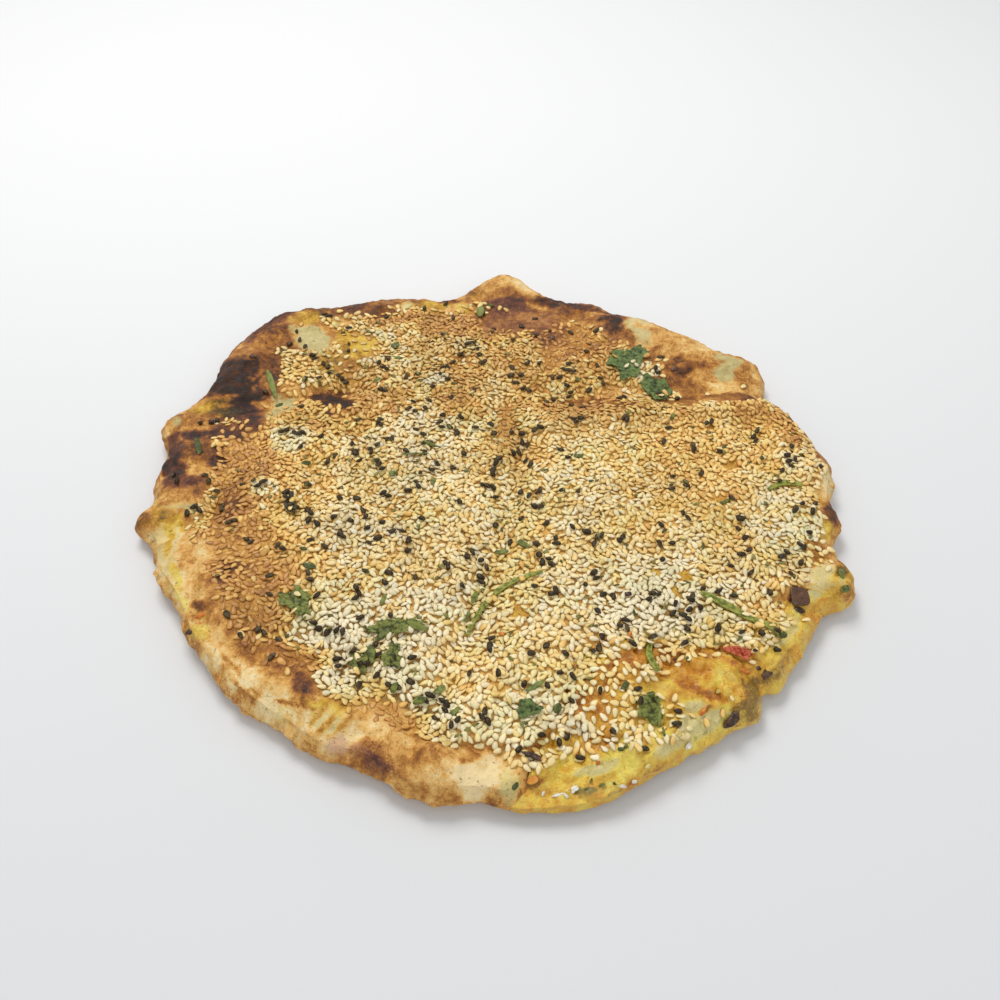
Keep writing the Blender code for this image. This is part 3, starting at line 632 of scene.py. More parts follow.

# %% [markdown]
# ## Where the oven browned it
#
# No two parts of the bread have the same colour. The colour is worked out at every vertex from patches that
# are named and placed, in millimetres. Each patch pulls four shares to its own values: toast, from
# raw cream at 0 to char at 1; yolk, where turmeric and potato shine through; ash, where flour or thin dough
# looks pale and greenish; and plum, the purple cast of strongly browned crust. The borders of a patch are
# made ragged by noise, because browning follows the blisters. The dough between the seeds and the bare
# potato have patches and shares of their own.

# %% Patches on the dough
# x, y, half length, half width, turn, then toast, yolk, ash, plum. Shares left out at the end are 0
DOUGH_PATCHES = {
    "left ground": (-85, 0, 26, 90, 0, 0.5, 0.1, 0, 0.05),
    "right ground": (70, -10, 60, 60, 0, 0.3, 0.15),
    "near ground": (40, -85, 34, 30, 0, 0.34, 0.3),
    "lower left ground": (-25, -75, 32, 28, 0, 0.36, 0.1, 0.2),
    "upper ground": (0, 60, 60, 26, 0, 0.5, 0.1, 0, 0.05),
    "back band": (15, 93, 50, 17, -5, 0.67, 0, 0, 0.35),
    "upper left rim": (-98, 87, 20, 9, 54, 0.84, 0, 0, 0.6),
    "upper left brown": (-92, 70, 9, 17, 0, 0.72, 0, 0, 0.2),
    "upper left tan": (-93, 78, 6, 4, 30, 0.6),
    "blister line": (-103, 63, 9, 2, 10, 0.88, 0, 0, 0.3),
    "char lobe": (-107, 52, 15, 12, 62, 1.05, 0, 0, 0.2),
    "char tail": (-99, 43, 8, 8, 0, 1.08, 0, 0, 0.2),
    "smooth tan blister": (-104.5, 69, 6, 5, -20, 0.56, 0.25, 0.05),
    "char seam": (-101, 35, 8, 3, 70, 1, 0, 0, 0.2),
    "brown band": (-88, 57, 5, 16, 10, 0.76, 0.1, 0, 0.1),
    "yellow gold": (-79.5, 94.5, 5.4, 6, -20, 0.44, 1),
    "gold top": (-74, 101, 8, 2.4, 0, 0.62, 0.4),
    "pale potato": (-75.5, 79, 11, 5.4, -54, 0.26, 0.3, 0.95),
    "pale potato tail": (-66, 90, 7, 3.4, -60, 0.38, 0.5, 0.35),
    "golden band": (-62, 76, 13, 4, 80, 0.46, 1),
    "yellow potato": (-55, 73, 6.5, 8, -40, 0.32, 1, 0.15),
    "orange potato edge": (-65, 63, 6, 6, -60, 0.62, 1),
    "orange below it": (-57, 56, 6, 9, 20, 0.52, 0.5),
    "brown below it": (-73, 45, 16, 4.5, -12, 0.5, 0.25),
    "brown ground": (-60, 30, 16, 6, -14, 0.62, 0.15, 0, 0.1),
    "dark oval blister": (-62, 39.2, 10, 4, -14, 1.02, 0, 0, 0.25),
    "pale hollow": (-82, 33, 5, 10, 8, 0.28, 0.3, 0.9),
    "inner char": (-97, 31, 6.5, 8.5, 20, 0.95, 0, 0, 0.8),
    "inner char tail": (-98, 22, 7, 5, 0, 0.8, 0, 0, 0.5),
    # Painted highlight: a pale line along the top of the notch ridge
    "notch ridge": (-110, 39.6, 7, 2, 14, 0.5, 0.2),
    "yellow notch": (-113, 34.6, 8.5, 3.8, 20, 0.74, 1),
    "notch gold": (-117, 34, 3.6, 2.8, 20, 0.48, 1),
    "notch gold 2": (-110, 36, 3, 1.6, 0, 0.52, 1),
    "olive notch": (-105, 33.5, 4, 3.4, 0, 0.95, 1),
    "left corner": (-118, 26, 9, 4.5, 8, 0.5, 0.2, 0.1),
    "corner cream": (-122.5, 26, 2.4, 3.4, 0, 0.4, 0.4, 0.6),
    "left dark arc": (-111, 18, 13, 3.6, 4, 0.93, 0, 0, 0.6),
    "left dark edge": (-119.5, 7, 15, 4.6, 96, 0.95, 0, 0, 0.6),
    "left orange": (-108, 7, 6, 9, 0, 0.63, 0.15),
    "left gold": (-107, 0, 5, 4, 0, 0.42, 0.3),
    "left dark spot": (-101.5, 4, 3.2, 4.4, 10, 0.93, 0, 0, 0.6),
    "left red": (-104, 12, 4, 5, 0, 0.82, 0, 0, 0.3),
    "left dark spot 2": (-111, -8, 9, 3.6, -14, 0.82, 0, 0, 0.65),
    "left dark spot 3": (-116, -3, 3.4, 4.4, 10, 0.86, 0, 0, 0.5),
    "left tan": (-111, -14.5, 10, 4.2, 0, 0.5, 0.15, 0.05),
    "left brown": (-91, -19, 8, 11, 10, 0.66, 0.1, 0, 0.2),
    "left brown 2": (-103, -12, 5, 4, 0, 0.62, 0.1, 0, 0.1),
    "spike cream": (-113, -20, 7, 1.8, 10, 0.36, 0.3, 0.5),
    "spike base": (-115, -26, 8, 6, -20, 0.58, 1, 0.1),
    "spike bright": (-110.5, -30, 4, 2, -75, 0.46, 1),
    "spike tip": (-124, -27, 4.5, 4.4, 20, 0.78, 0.5, 0, 0.05),
    "grey patch": (-105.5, -22, 4, 3.2, 0, 0.4, 0.2, 0.9),
    "pale left rim": (-110, -46, 22, 6, -60, 0.18, 0.4, 0.5),
    "cream left rim": (-110, -38, 6, 3.6, -70, 0.18, 0.2, 0.6),
    "tan left band": (-101, -38, 14, 5, -72, 0.32, 0.15),
    "pale patch": (-96.5, -41, 4.4, 4, -30, 0.2, 0.1, 0.8),
    "lower left toast": (-90, -55, 18, 10, -64, 0.42, 0.1, 0, 0.05),
    "dark toast": (-87, -49, 6, 6, 0, 0.66, 0, 0, 0.2),
    "edge glow": (-103, -62, 10, 2.4, -58, 0.08, 0.8, 0.2),
    "red knob": (-93, -65, 4.4, 2.4, -5, 0.78, 0, 0, 0.2),
    "yellow fleck": (-92.5, -75.5, 6.5, 5.2, -40, 0.14, 0.85, 0.15),
    "tan by the fleck": (-86, -76, 3.4, 4, -20, 0.24, 0.2, 0.1),
    "lower left band": (-76, -72, 16, 8, -60, 0.55, 0.05, 0, 0.05),
    "near left rim": (-70, -97, 26, 9, -36, 0.16, 0.2),
    "rim glow": (-64, -105, 12, 4, -36, 0.08, 0.5, 0.1),
    "cream rim": (-66, -102, 5, 3.4, -60, 0.02, 0.15, 0.2),
    "cream rim 2": (-77, -93, 7, 3.4, -45, 0.04, 0.1),
    "rim edge brown": (-81, -91, 4, 2.4, -60, 0.38, 0.1),
    "dark rim ring": (-71.5, -99, 3.6, 3, 0, 0.64, 0.2),
    "toast over the rim": (-66, -84.5, 15, 5.4, -14, 0.52, 0.1),
    "reddish blister": (-55.5, -95.5, 5, 3.8, -40, 0.84, 0, 0, 0.4),
    "blister foot": (-55, -101, 4, 3, -20, 0.58, 0.2),
    "brown fold": (-41, -100, 10, 3, 12, 0.6, 0.35),
    "gold fold": (-46, -104.5, 8, 3.6, -6, 0.4, 0.9),
    "olive streaks": (-46, -110, 6, 5, -30, 0.26, 0.5, 0.6),
    "rim brown low": (-54, -115, 9, 3.4, -50, 0.38, 0.2),
    "mauve": (-43, -117, 4.4, 4.5, 30, 0.28, 0, 0.2, 1),
    "rib cream": (-38, -112, 4, 8, 10, 0.12, 0.2, 0.1),
    "near toast": (-30, -110, 10, 7, -30, 0.33, 0.2, 0.1),
    "purple bruise": (-30, -123, 9, 3.8, -28, 0.64, 0, 0, 1),
    "bruise knuckle": (-31, -117, 6, 2.4, -30, 0.4, 0.1, 0, 0.2),
    "orange near": (-20, -124, 6, 7, 0, 0.44, 0.15),
    "bottom puff": (-10, -126, 9, 9, 0, 0.24, 0.15),
    "bottom cream": (-2, -127, 6.5, 8, 10, 0, 0.15, 0.2),
    "puff back edge": (-8, -119, 12, 2.6, 2, 0.52, 0.1),
    "olive back rim": (-48, 105, 12, 5, 4, 0.66, 0.3, 0, 0.1),
    "red back rim": (-60, 102, 8, 4.4, 30, 0.82, 0, 0, 0.4),
    "brown back": (-47, 97, 11, 4.4, 4, 0.64, 0.1, 0, 0.1),
    "pale back fleck": (-37, 103, 3, 3.4, 30, 0.34, 0.3, 0.6),
    "yellow back": (-24, 104, 7, 4.4, 4, 0.46, 1),
    "yellow back 2": (-12, 101, 6, 6, 10, 0.26, 0.9, 0.1),
    "dark back dots": (-17, 108.5, 6, 2, 0, 0.8, 0.2, 0, 0.1),
    "bump left slope": (-6, 114, 4, 8, -40, 0.66, 0.5),
    "bump tip": (5, 122, 9, 9, 0, 0.36, 0.25),
    "bump side": (17, 114, 11, 2.8, -52, 0.24, 0.15, 0.3),
    "bump centre": (5, 112, 7, 5, 0, 0.54, 0.1, 0, 0.1),
    "bump dark fleck": (-1, 126, 3.4, 1.8, 55, 0.92, 0, 0, 0.2),
    "bump red brown": (6, 102, 13, 6, 0, 0.78, 0, 0, 0.7),
    "back plum": (14, 88, 16, 8, 0, 0.66, 0, 0, 0.5),
    "back orange fleck": (22, 104, 5, 2, -30, 0.38, 0.1),
    "dark back edge": (36, 104, 18, 3.6, -20, 0.9, 0, 0, 0.4),
    "back red": (36, 97, 7, 5, -20, 0.68, 0.1, 0, 0.2),
    "orange back": (40, 84, 7, 12, 10, 0.48, 0.3),
    "charred spot": (53, 92, 7.5, 6, 10, 1.04, 0, 0, 0.3),
    "dark edge": (53, 98, 9, 3, -34, 0.86, 0, 0, 0.3),
    "pale back right": (66, 86, 11, 6, 118, 0, 0.1, 0.6),
    "orange flap": (84, 76, 17, 9, -38, 0.33, 0.05),
    "flap tan edge": (85, 82.5, 12, 1.8, -38, 0.28, 0.1, 0.1),
    "flap low": (94, 50, 18, 8, 4, 0.46, 0.15),
    "flap gold": (99, 47, 9, 5, 5, 0.26, 0.35),
    "pale flap": (100, 65, 8, 5, -30, 0.3, 0.2, 0.7),
    "pale flap foot": (97, 56, 4, 6, 8, 0.34, 0.2, 0.7),
    "flap brown": (86, 64, 9, 5, -10, 0.44, 0.05),
    "flap burn": (78.5, 59.5, 5, 6.4, 20, 0.88, 0, 0, 0.2),
    "flap burn tail": (86, 62.5, 8, 1.8, 8, 0.6, 0, 0, 0.1),
    "flap toast": (77, 48, 7, 7, 0, 0.64, 0.15),
    "valley brown": (92, 40, 22, 3.2, 4, 0.6, 0.2),
    "crest brown": (48, 36, 18, 4, -8, 0.68, 0.1, 0, 0.1),
    "right rim": (120, 22, 20, 4.5, 113, 0.62, 0, 0, 0.15),
    "right rim red": (124, 8, 3, 8, 12, 0.6, 0.1),
    "right rim pale": (126, -4, 2.8, 10, 5, 0, 0.1, 0.6),
    "right tan": (121, -3, 3, 8, 5, 0.44, 0.1),
    "right yellow": (108, -28, 9, 12, 0, 0.16, 0.65, 0.3),
    "orange by the knob": (120, -19, 3, 6, 0, 0.56, 0.5),
    "knob": (124, -24, 3.4, 4.6, 0, 0.86, 0.1, 0, 0.2),
    "orange under knob": (120.5, -32, 4, 5, 0, 0.36, 0.9),
    "right orange": (115, -41.5, 6.5, 5.5, 0, 0.56, 0.3),
    "right bump": (114, -54, 8, 7, 40, 0, 0.55, 0.5),
    "green tip": (121.5, -53, 2.8, 6.5, -8, 0.9, 1),
    "right blister halo": (103, -64, 6, 7.5, 0, 0.6, 0.4),
    "right blister": (104.3, -62.6, 4.2, 5.2, 10, 0.95, 0, 0, 0.2),
    "yellow near right": (111, -66, 14, 4.4, 45, 0.38, 1),
    "puff end": (7.5, -131, 3, 7, 0, 0.1, 0.6, 0.5),
    "left yellow streak": (-104.5, -54, 7, 1.6, -62, 0.24, 1, 0.1),
    "left olive streak": (-112, -37, 8, 1.8, -74, 0.42, 1, 0.2),
    "rim brown spot": (-97, -76.5, 2.2, 1.8, 0, 0.62, 0.6),
    "yellow potato streak": (-61, 71, 1.4, 5, 12, 0.7, 0.7),
    "yellow potato streak 2": (-53, 66, 1.2, 5, 30, 0.66, 0.7),
    "upper left edge": (-108, 76, 4, 9, -32, 0.7, 0.1, 0, 0.3),
    "red knob foot": (-93, -69, 4.4, 1.3, 0, 0.5, 0.9),
    "inside the ring": (-71.3, -98.8, 1.6, 1.2, 0, 0.3, 0.2),
    "brown crease": (-58, -102.4, 8, 1.1, -12, 0.66, 0.2),
    "rib 1": (-50, -106, 5, 0.9, 58, 0.56, 0.5, 0.1),
    "rib 2": (-46.5, -108.5, 5, 0.9, 58, 0.54, 0.5, 0.1),
    "rib 3": (-42.5, -110, 5, 0.9, 58, 0.56, 0.5, 0.1),
    "rim streak": (-82, -86, 9, 1, -48, 0.5, 0.2),
    "rim streak 2": (-76, -97, 6, 0.9, -40, 0.52, 0.1),
    "tip highlight": (119.6, -55, 1.4, 2, 0, 0.1, 0.8, 0.4),
    "rim under the fleck": (-88, -84, 6, 3.4, -50, 0.16, 0.3, 0.1),
    "orange fleck 1": (10.5, -67.5, 3.4, 2.6, 0, 0.42, 1),
    "orange fleck 2": (56.7, -50.5, 2.6, 2.5, 0, 0.42, 1),
    "orange fleck 3": (67.5, -52.6, 2.9, 2.7, 0, 0.42, 1),
    "orange fleck 4": (62.4, -58.6, 2.3, 3.2, 0, 0.42, 1),
    "orange fleck 5": (91, 2, 3.2, 3, 0, 0.48, 0.6),
    "orange fleck 6": (84, -17.6, 4, 2.2, 0, 0.48, 0.6),
    "orange fleck 7": (87, 23, 2.4, 2, 0, 0.48, 0.6),
}
print("patches on the dough", len(DOUGH_PATCHES))

# %% Patches between the seeds
# x, y, half length, half width, turn, then how orange the dough is between the seeds, and how dark: browner
# dough in places, and painted shade in the grooves and creases
GROUND_PATCHES = {
    "orange fleck 1": (10.5, -67.5, 3.4, 2.6, 0, 0.95, 0.1),
    "orange fleck 2": (56.7, -50.5, 2.6, 2.5, 0, 0.95, 0.1),
    "orange fleck 3": (67.5, -52.6, 2.9, 2.7, 0, 0.95, 0.1),
    "orange fleck 4": (62.4, -58.6, 2.3, 3.2, 0, 0.9, 0.1),
    "golden right": (66, 0, 44, 32, 0, 0.55),
    "middle": (-4, -20, 26, 26, 0, 0.2, 0.2),
    "orange left": (-80, 0, 16, 60, 0, 0.6, 0.3),
    # The dark of the next four patches is painted shade in the near groove, the centre crease and the middle
    # crease
    "dark low": (-45, -86, 20, 16, -20, 0.1, 0.9),
    "dark groove": (-20, -102, 16, 6, -35, 0, 1),
    "dark crease": (-3, -55, 5, 26, 12, 0.1, 0.9),
    "dark middle": (8, 20, 5, 30, 8, 0.2, 0.7),
    "dark drift": (56, -66, 15, 9, 5, 0, 0.8),
    "orange 1": (75, -45, 4, 3, 0, 1),
    "orange 2": (66, -54, 5, 3, 40, 1),
    "orange 3": (9, -67, 4.5, 3.5, 0, 1),
    "orange 4": (3, -76, 3, 4, 0, 1),
    "orange 5": (85, -16, 5, 5, 0, 0.9),
    "orange 6": (55, -13, 4, 3, 0, 0.8),
    "orange 7": (-22, -8, 4, 4, 0, 0.8, 0.2),
    "orange 8": (-15, 39, 9, 6, 0, 0.7, 0.5),
    "orange 9": (35, -92, 8, 12, 0, 0.9, 0.2),
    "upper brown": (-10, 78, 22, 10, 0, 0.5, 0.8),
    "crest": (48, 34, 20, 5, -5, 0.6, 0.9),
    "upper middle": (0, 50, 40, 20, 0, 0.4, 0.5),
    "near mid": (8, -92, 22, 16, 0, 0.6, 0.1),
    "red brown back": (26, 66, 5, 10, 10, 0.9, 0.7),
    "gold back": (43, 66, 4, 12, 0, 1, 0.1),
    "brown of the upper middle": (20, 46, 6, 6, 0, 0.8, 0.7),
    "gold of the upper middle": (12, 61, 6, 4, 0, 0.9, 0.3),
    "brown of the upper middle 2": (-12, 63, 5, 7, 0, 0.7, 0.7),
    "orange glow": (90, 4, 5, 10, 20, 1),
    "orange of the left": (-52, -34, 4, 9, -10, 1, 0.2),
    "left edge of the middle": (-56, 24, 6, 16, 0, 0.8, 0.5),
    "yellow glow": (104, -28, 7, 12, 0, 0.2),
}
print("patches between the seeds", len(GROUND_PATCHES))

# %% Patches on the potato
# x, y, half length, half width, turn, then orange, brown, pale, green
POTATO_PATCHES = {
    "gold": (62, -91, 18, 11, 10, 0.5),
    "orange glaze": (50, -86, 9, 4, 0, 1, 0.15),
    "orange glaze 2": (60, -87, 8, 4, 20, 0.75),
    "orange ground": (34, -98, 9, 14, 10, 0.85, 0.25),
    "brown ground": (31, -93, 3, 6, 20, 0.75, 0.6),
    "gold middle": (45, -106, 8, 8, 0, 0.45),
    "clear gold": (66, -93, 8, 5, 10, 0.4, 0, 0.15),
    "golden cube": (75, -95, 6, 6, 40, 0.45, 0.22, 0.15),
    "orange seam": (80, -88, 8, 1.8, -20, 0.85, 0.25),
    "orange seam 2": (67, -98, 7, 1.6, -25, 0.9, 0.2),
    "orange spot": (82, -91.5, 2.4, 1.4, -10, 1, 0.5),
    "olive gold": (88, -86, 9, 5, 50, 0.45, 0.42, 0, 0.15),
    # The brown of the potato knob is its own; its right side is painted darker still as painted shade, here
    # and in a dark line further down
    "brown olive": (81, -101, 5, 8, -10, 0.45, 0.95, 0, 0.1),
    "knob edge": (84, -103, 2.2, 6.5, -10, 0.3, 1),
    "knob foot": (78, -109.5, 5, 2.4, 10, 0.35, 0.6, 0, 0.1),
    "pale cube": (63.5, -103.5, 4, 3.4, 30, 0.1, 0.05, 0.9),
    "red streak": (65.5, -107, 4.8, 1.5, 55, 1, 0.6),
    "red streak 2": (62.5, -108.5, 3, 1, 40, 1, 0.5),
    "grey under": (66, -113, 9, 3, 32, 0, 0.55, 0.55, 0.7),
    "yellow side": (52, -108, 4, 10, -10, 0.1, 0, 0.25, 0.15),
    "onion edge": (56, -117.5, 10, 3.4, 46, 0, 0, 0.8, 0.45),
    "yellow strip": (42, -121.5, 9, 4.2, 62, -0.3, -0.1),
    "onion near": (32, -126, 8, 3, 20, 0, 0, 0.8, 0.3),
    "olive near": (37, -131.5, 9, 2.6, 12, 0.35, 0.55, 0, 0.35),
    "orange tip": (43.5, -130, 2.6, 1.8, 20, 0.8),
    "gold near": (22, -120, 8, 5, 0, 0.55, 0.38),
    "brown near": (14, -121.5, 6, 3, -12, 0.45, 0.95, 0, 0.1),
    "red brown near": (14, -129.5, 5, 3, 20, 0.85, 0.65),
    "orange foot": (13, -134, 6, 2, 0, 0.7, 0.35),
    "olive corner": (27, -134, 7, 2.2, 5, 0.3, 0.65, 0.2, 0.35),
    "right strip": (101, -76, 14, 4.5, 45, 0.3, 0.25, 0.25, 0.2),
    "right gold": (112, -67, 13, 5, 45, 0.5, 0.05),
    "right orange": (116, -61, 4, 3, 45, 0.85, 0.05),
    "right pale": (113, -55, 7, 5, 45, 0, 0, 0.85, 0.2),
    "green tip": (121.5, -53, 2.6, 6.5, -8, 0, 0.9, 0, 0.8),
    "right edge dark": (92, -92, 7, 2, 45, 0.3, 0.8, 0, 0.1),
    "puff smear": (9, -134, 2.4, 4, 0, 0, 0, 0.8, 0.2),
    "clear 1": (56, -96, 4, 3, 20, 0.35, 0, 0.45),
    "clear 2": (71, -90, 3.4, 2.4, -20, 0.3, 0, 0.55),
    "deep 1": (70, -84, 5, 2, 10, 0.75, 0.35),
    "deep 2": (58, -104, 2, 5, 10, 0.5, 0.45, 0, 0.2),
    "deep 3": (46, -118, 1.8, 6, -10, 0.5, 0.4, 0, 0.2),
    "deep 4": (33, -117, 6, 1.6, 20, 0.6, 0.4),
    "clear edge": (52, -122, 6, 2, 44, 0.2, 0, 0.5, 0.3),
    "foot brown": (50, -127, 7, 1.6, 34, 0.6, 0.55, 0, 0.2),
    "foot dark": (30, -133, 5, 2, 8, 0.2, 0.9, 0, 0.6),
    "foot red": (13, -131, 4, 2, 10, 1, 0.75),
    "foot olive": (8, -133, 3, 2.4, 0, 0.3, 0.45, 0.1, 0.7),
    "foot pale": (40, -129.5, 6, 1.3, 14, -0.2, 0, 0.5, 0.1),
    "knob light": (78, -99, 3, 3.4, 20, 0.4, 0.2, 0.25),
    # Painted shade: a dark line on the right side of the potato knob
    "knob dark line": (83, -101, 1.6, 7, -12, 0.3, 1, 0, 0.2),
    "edge mottle": (95, -87, 8, 1.6, 46, 0.5, 0.55, 0, 0.1),
    "edge mottle 2": (104, -79, 8, 1.4, 48, 0.7, 0.35),
    "glow": (58, -92, 5, 4, 0, -0.1, 0, 0.1),
    "yellow near": (24, -122, 8, 3.4, 10, 0.1),
    "clear gold 2": (72, -92, 6, 4, 10, 0.15, 0.1, 0.45, 0.1),
    "orange line": (60, -94.5, 9, 1.6, -30, 0.9, 0.1),
    "orange line 2": (70, -100, 7, 1.4, -24, 0.95, 0.3),
    "orange seam 3": (52, -85, 8, 2.4, 6, 1, 0.2),
    "warm gold": (60, -90, 12, 5, -6, 0.7, 0.05),
    "under the white seeds": (62, -75, 24, 5, -6, 0.2, -0.3, 0.75),
    "pale side": (61, -110.5, 5, 3.4, 50, 0, 0.2, 0.9, 0.1),
    "pale side 2": (69, -108, 5, 3, 40, 0.1, 0.3, 0.85, 0.35),
    "pale foot": (56, -119, 5, 2.6, 45, 0.1, 0.1, 0.85, 0.1),
    "pale right strip": (96, -76, 10, 4, 45, 0.15, 0, 0.65, 0.05),
}
print("patches on the potato", len(POTATO_PATCHES))

# %% [markdown]
# The patches are placed as the camera sees them. A place on the side is drawn nearer than the rim above it,
# so each vertex is first sent to its drawn place, and the patches are then read there. The shares are stored
# on the vertices as attributes, which the materials can read.

# %% Storing the shares
LEAN = 1 / math.tan(math.radians(CAMERA_DIP))
DRAWN_AT = 0.013  # the height at which a place and its drawn place are the same


def leaned(y, z):
    """Where a place lies in the drawing: what is lower is drawn nearer, so the side has room in it too."""
    return y - (DRAWN_AT - z) * LEAN


def pull_to_patches(x, y, start, patches, blur=0.45, raggedness=1.0):
    """Shares at each place: a start value for each, pulled to the values of the patches in turn."""
    ragged = raggedness * (0.45 * rough_noise(x, y, 0.0065, 71) + 0.22 * noise(x, y, 0.0019, 75))
    shares = [np.full(np.shape(x), float(value)) for value in start]
    for px, py, half_length, half_width, turn, *values in patches.values():
        values += [0] * (len(start) - len(values))
        oval = oval_distance(x, y, px * MM, py * MM, half_length * MM, half_width * MM, turn)
        mask = smooth((1 + blur - oval - ragged) / (2 * blur))
        shares = [share + (value - share) * mask for share, value in zip(shares, values)]
    return shares


def put_share(piece, name, values):
    """Stores a share on each vertex, for the materials to read."""
    attribute = piece.data.attributes.new(name, "FLOAT", "POINT")
    attribute.data.foreach_set("value", np.asarray(values, np.float32))


x, y, z = places(dough).T
_, inside = inside_edge(x, y)
toast, yolk, ash, plum = pull_to_patches(x, leaned(y, z), (0.44, 0.12, 0.0, 0.0), DOUGH_PATCHES)
raised = blisters(x, y, inside) / 0.0006
toast = toast + raised * 0.06 * (1 - smooth((toast - 0.7) / 0.2)) * smooth(z / 0.006)
under_share = smooth((0.0035 - z) / 0.003)
toast = toast + (0.34 - toast) * 0.5 * under_share
# The dark share is browner dough in places and painted shade in the grooves and creases
orange, dark = pull_to_patches(x, leaned(y, z), (0.35, 0.35), GROUND_PATCHES)
dough_shares = {"toast": toast, "yolk": yolk, "ash": ash, "plum": plum, "orange": orange, "dark": dark}
for name, values in dough_shares.items():
    put_share(dough, name, np.clip(values, 0, 1))
print("toast from", round(float(toast.min()), 2), "to", round(float(toast.max()), 2))

x, y, z = places(potato).T
potato_shares = pull_to_patches(x, leaned(y, z), (0.4, 0.1, 0, 0), POTATO_PATCHES)
for name, values in zip(("orange", "brown", "pale", "green"), potato_shares):
    put_share(potato, name, np.clip(values, 0, 1))

# %% [markdown]
# ## Seeds
#
# The top carries thousands of sesame seeds, thickly strewn and pressed in before baking, and a few hundred
# nigella seeds. Each seed is a little mesh of its own, at its true size. They are dropped one after another
# onto a map of heights, which starts as the bread's own top: a seed tilts to what is below it, rests on the
# highest of that, and raises the map where it lies. So the next seed lies on it instead of in it.

# %% The map of heights
CELL = 0.00035
REACH = 0.137
SIDE = int(2 * REACH / CELL) + 2
middles = (np.arange(SIDE) + 0.5) * CELL - REACH
map_x, map_y = np.meshgrid(middles, middles)
map_bearing, map_inside = inside_edge(map_x, map_y)
map_is_torn = past_tear(map_x, map_y) > 0
map_crown = np.where(map_is_torn, potato_height(map_x, map_y), crown_height(map_x, map_y))
ground = down_to_side(map_crown, map_bearing, np.maximum(map_inside, 0))


def cell_of(px, py):
    """The row and the column of the map that a place lies in."""
    return int((py + REACH) / CELL), int((px + REACH) / CELL)


def cells_of(x, y):
    """The rows and the columns that many places lie in."""
    return ((y + REACH) / CELL).astype(int), ((x + REACH) / CELL).astype(int)


print("map", ground.shape, "highest in mm", round(1000 * float(ground.max()), 2))

# %% [markdown]
# How thickly the seeds lie, how toasted they are, how much painted shade darkens them, and how many are
# nigella changes over the bread. These four are patches too: the rim at the left and the back is almost
# bare, seeds near it are toasted through, those in the creases are darkened by painted shade, and the
# nigella lies in drifts.

# %% Where the seeds lie
# Bearing in degrees, then the width in millimetres of the rim that no seed lies on
BARE_RIM = (
    (0, 4), (18, 4.5), (27, 9), (32, 17), (40, 22), (60, 19), (78, 19), (90, 21), (99, 14), (112, 12),
    (124, 11), (131, 16), (142, 22), (158, 24), (168, 20), (180, 17), (190, 15), (205, 13), (222, 12),
    (240, 13), (254, 13), (262, 15), (271, 13), (277, 4), (300, 3), (326, 3), (333, 4), (338, 10), (343, 5),
    (349, 5), (352, 7), (360, 4),
)
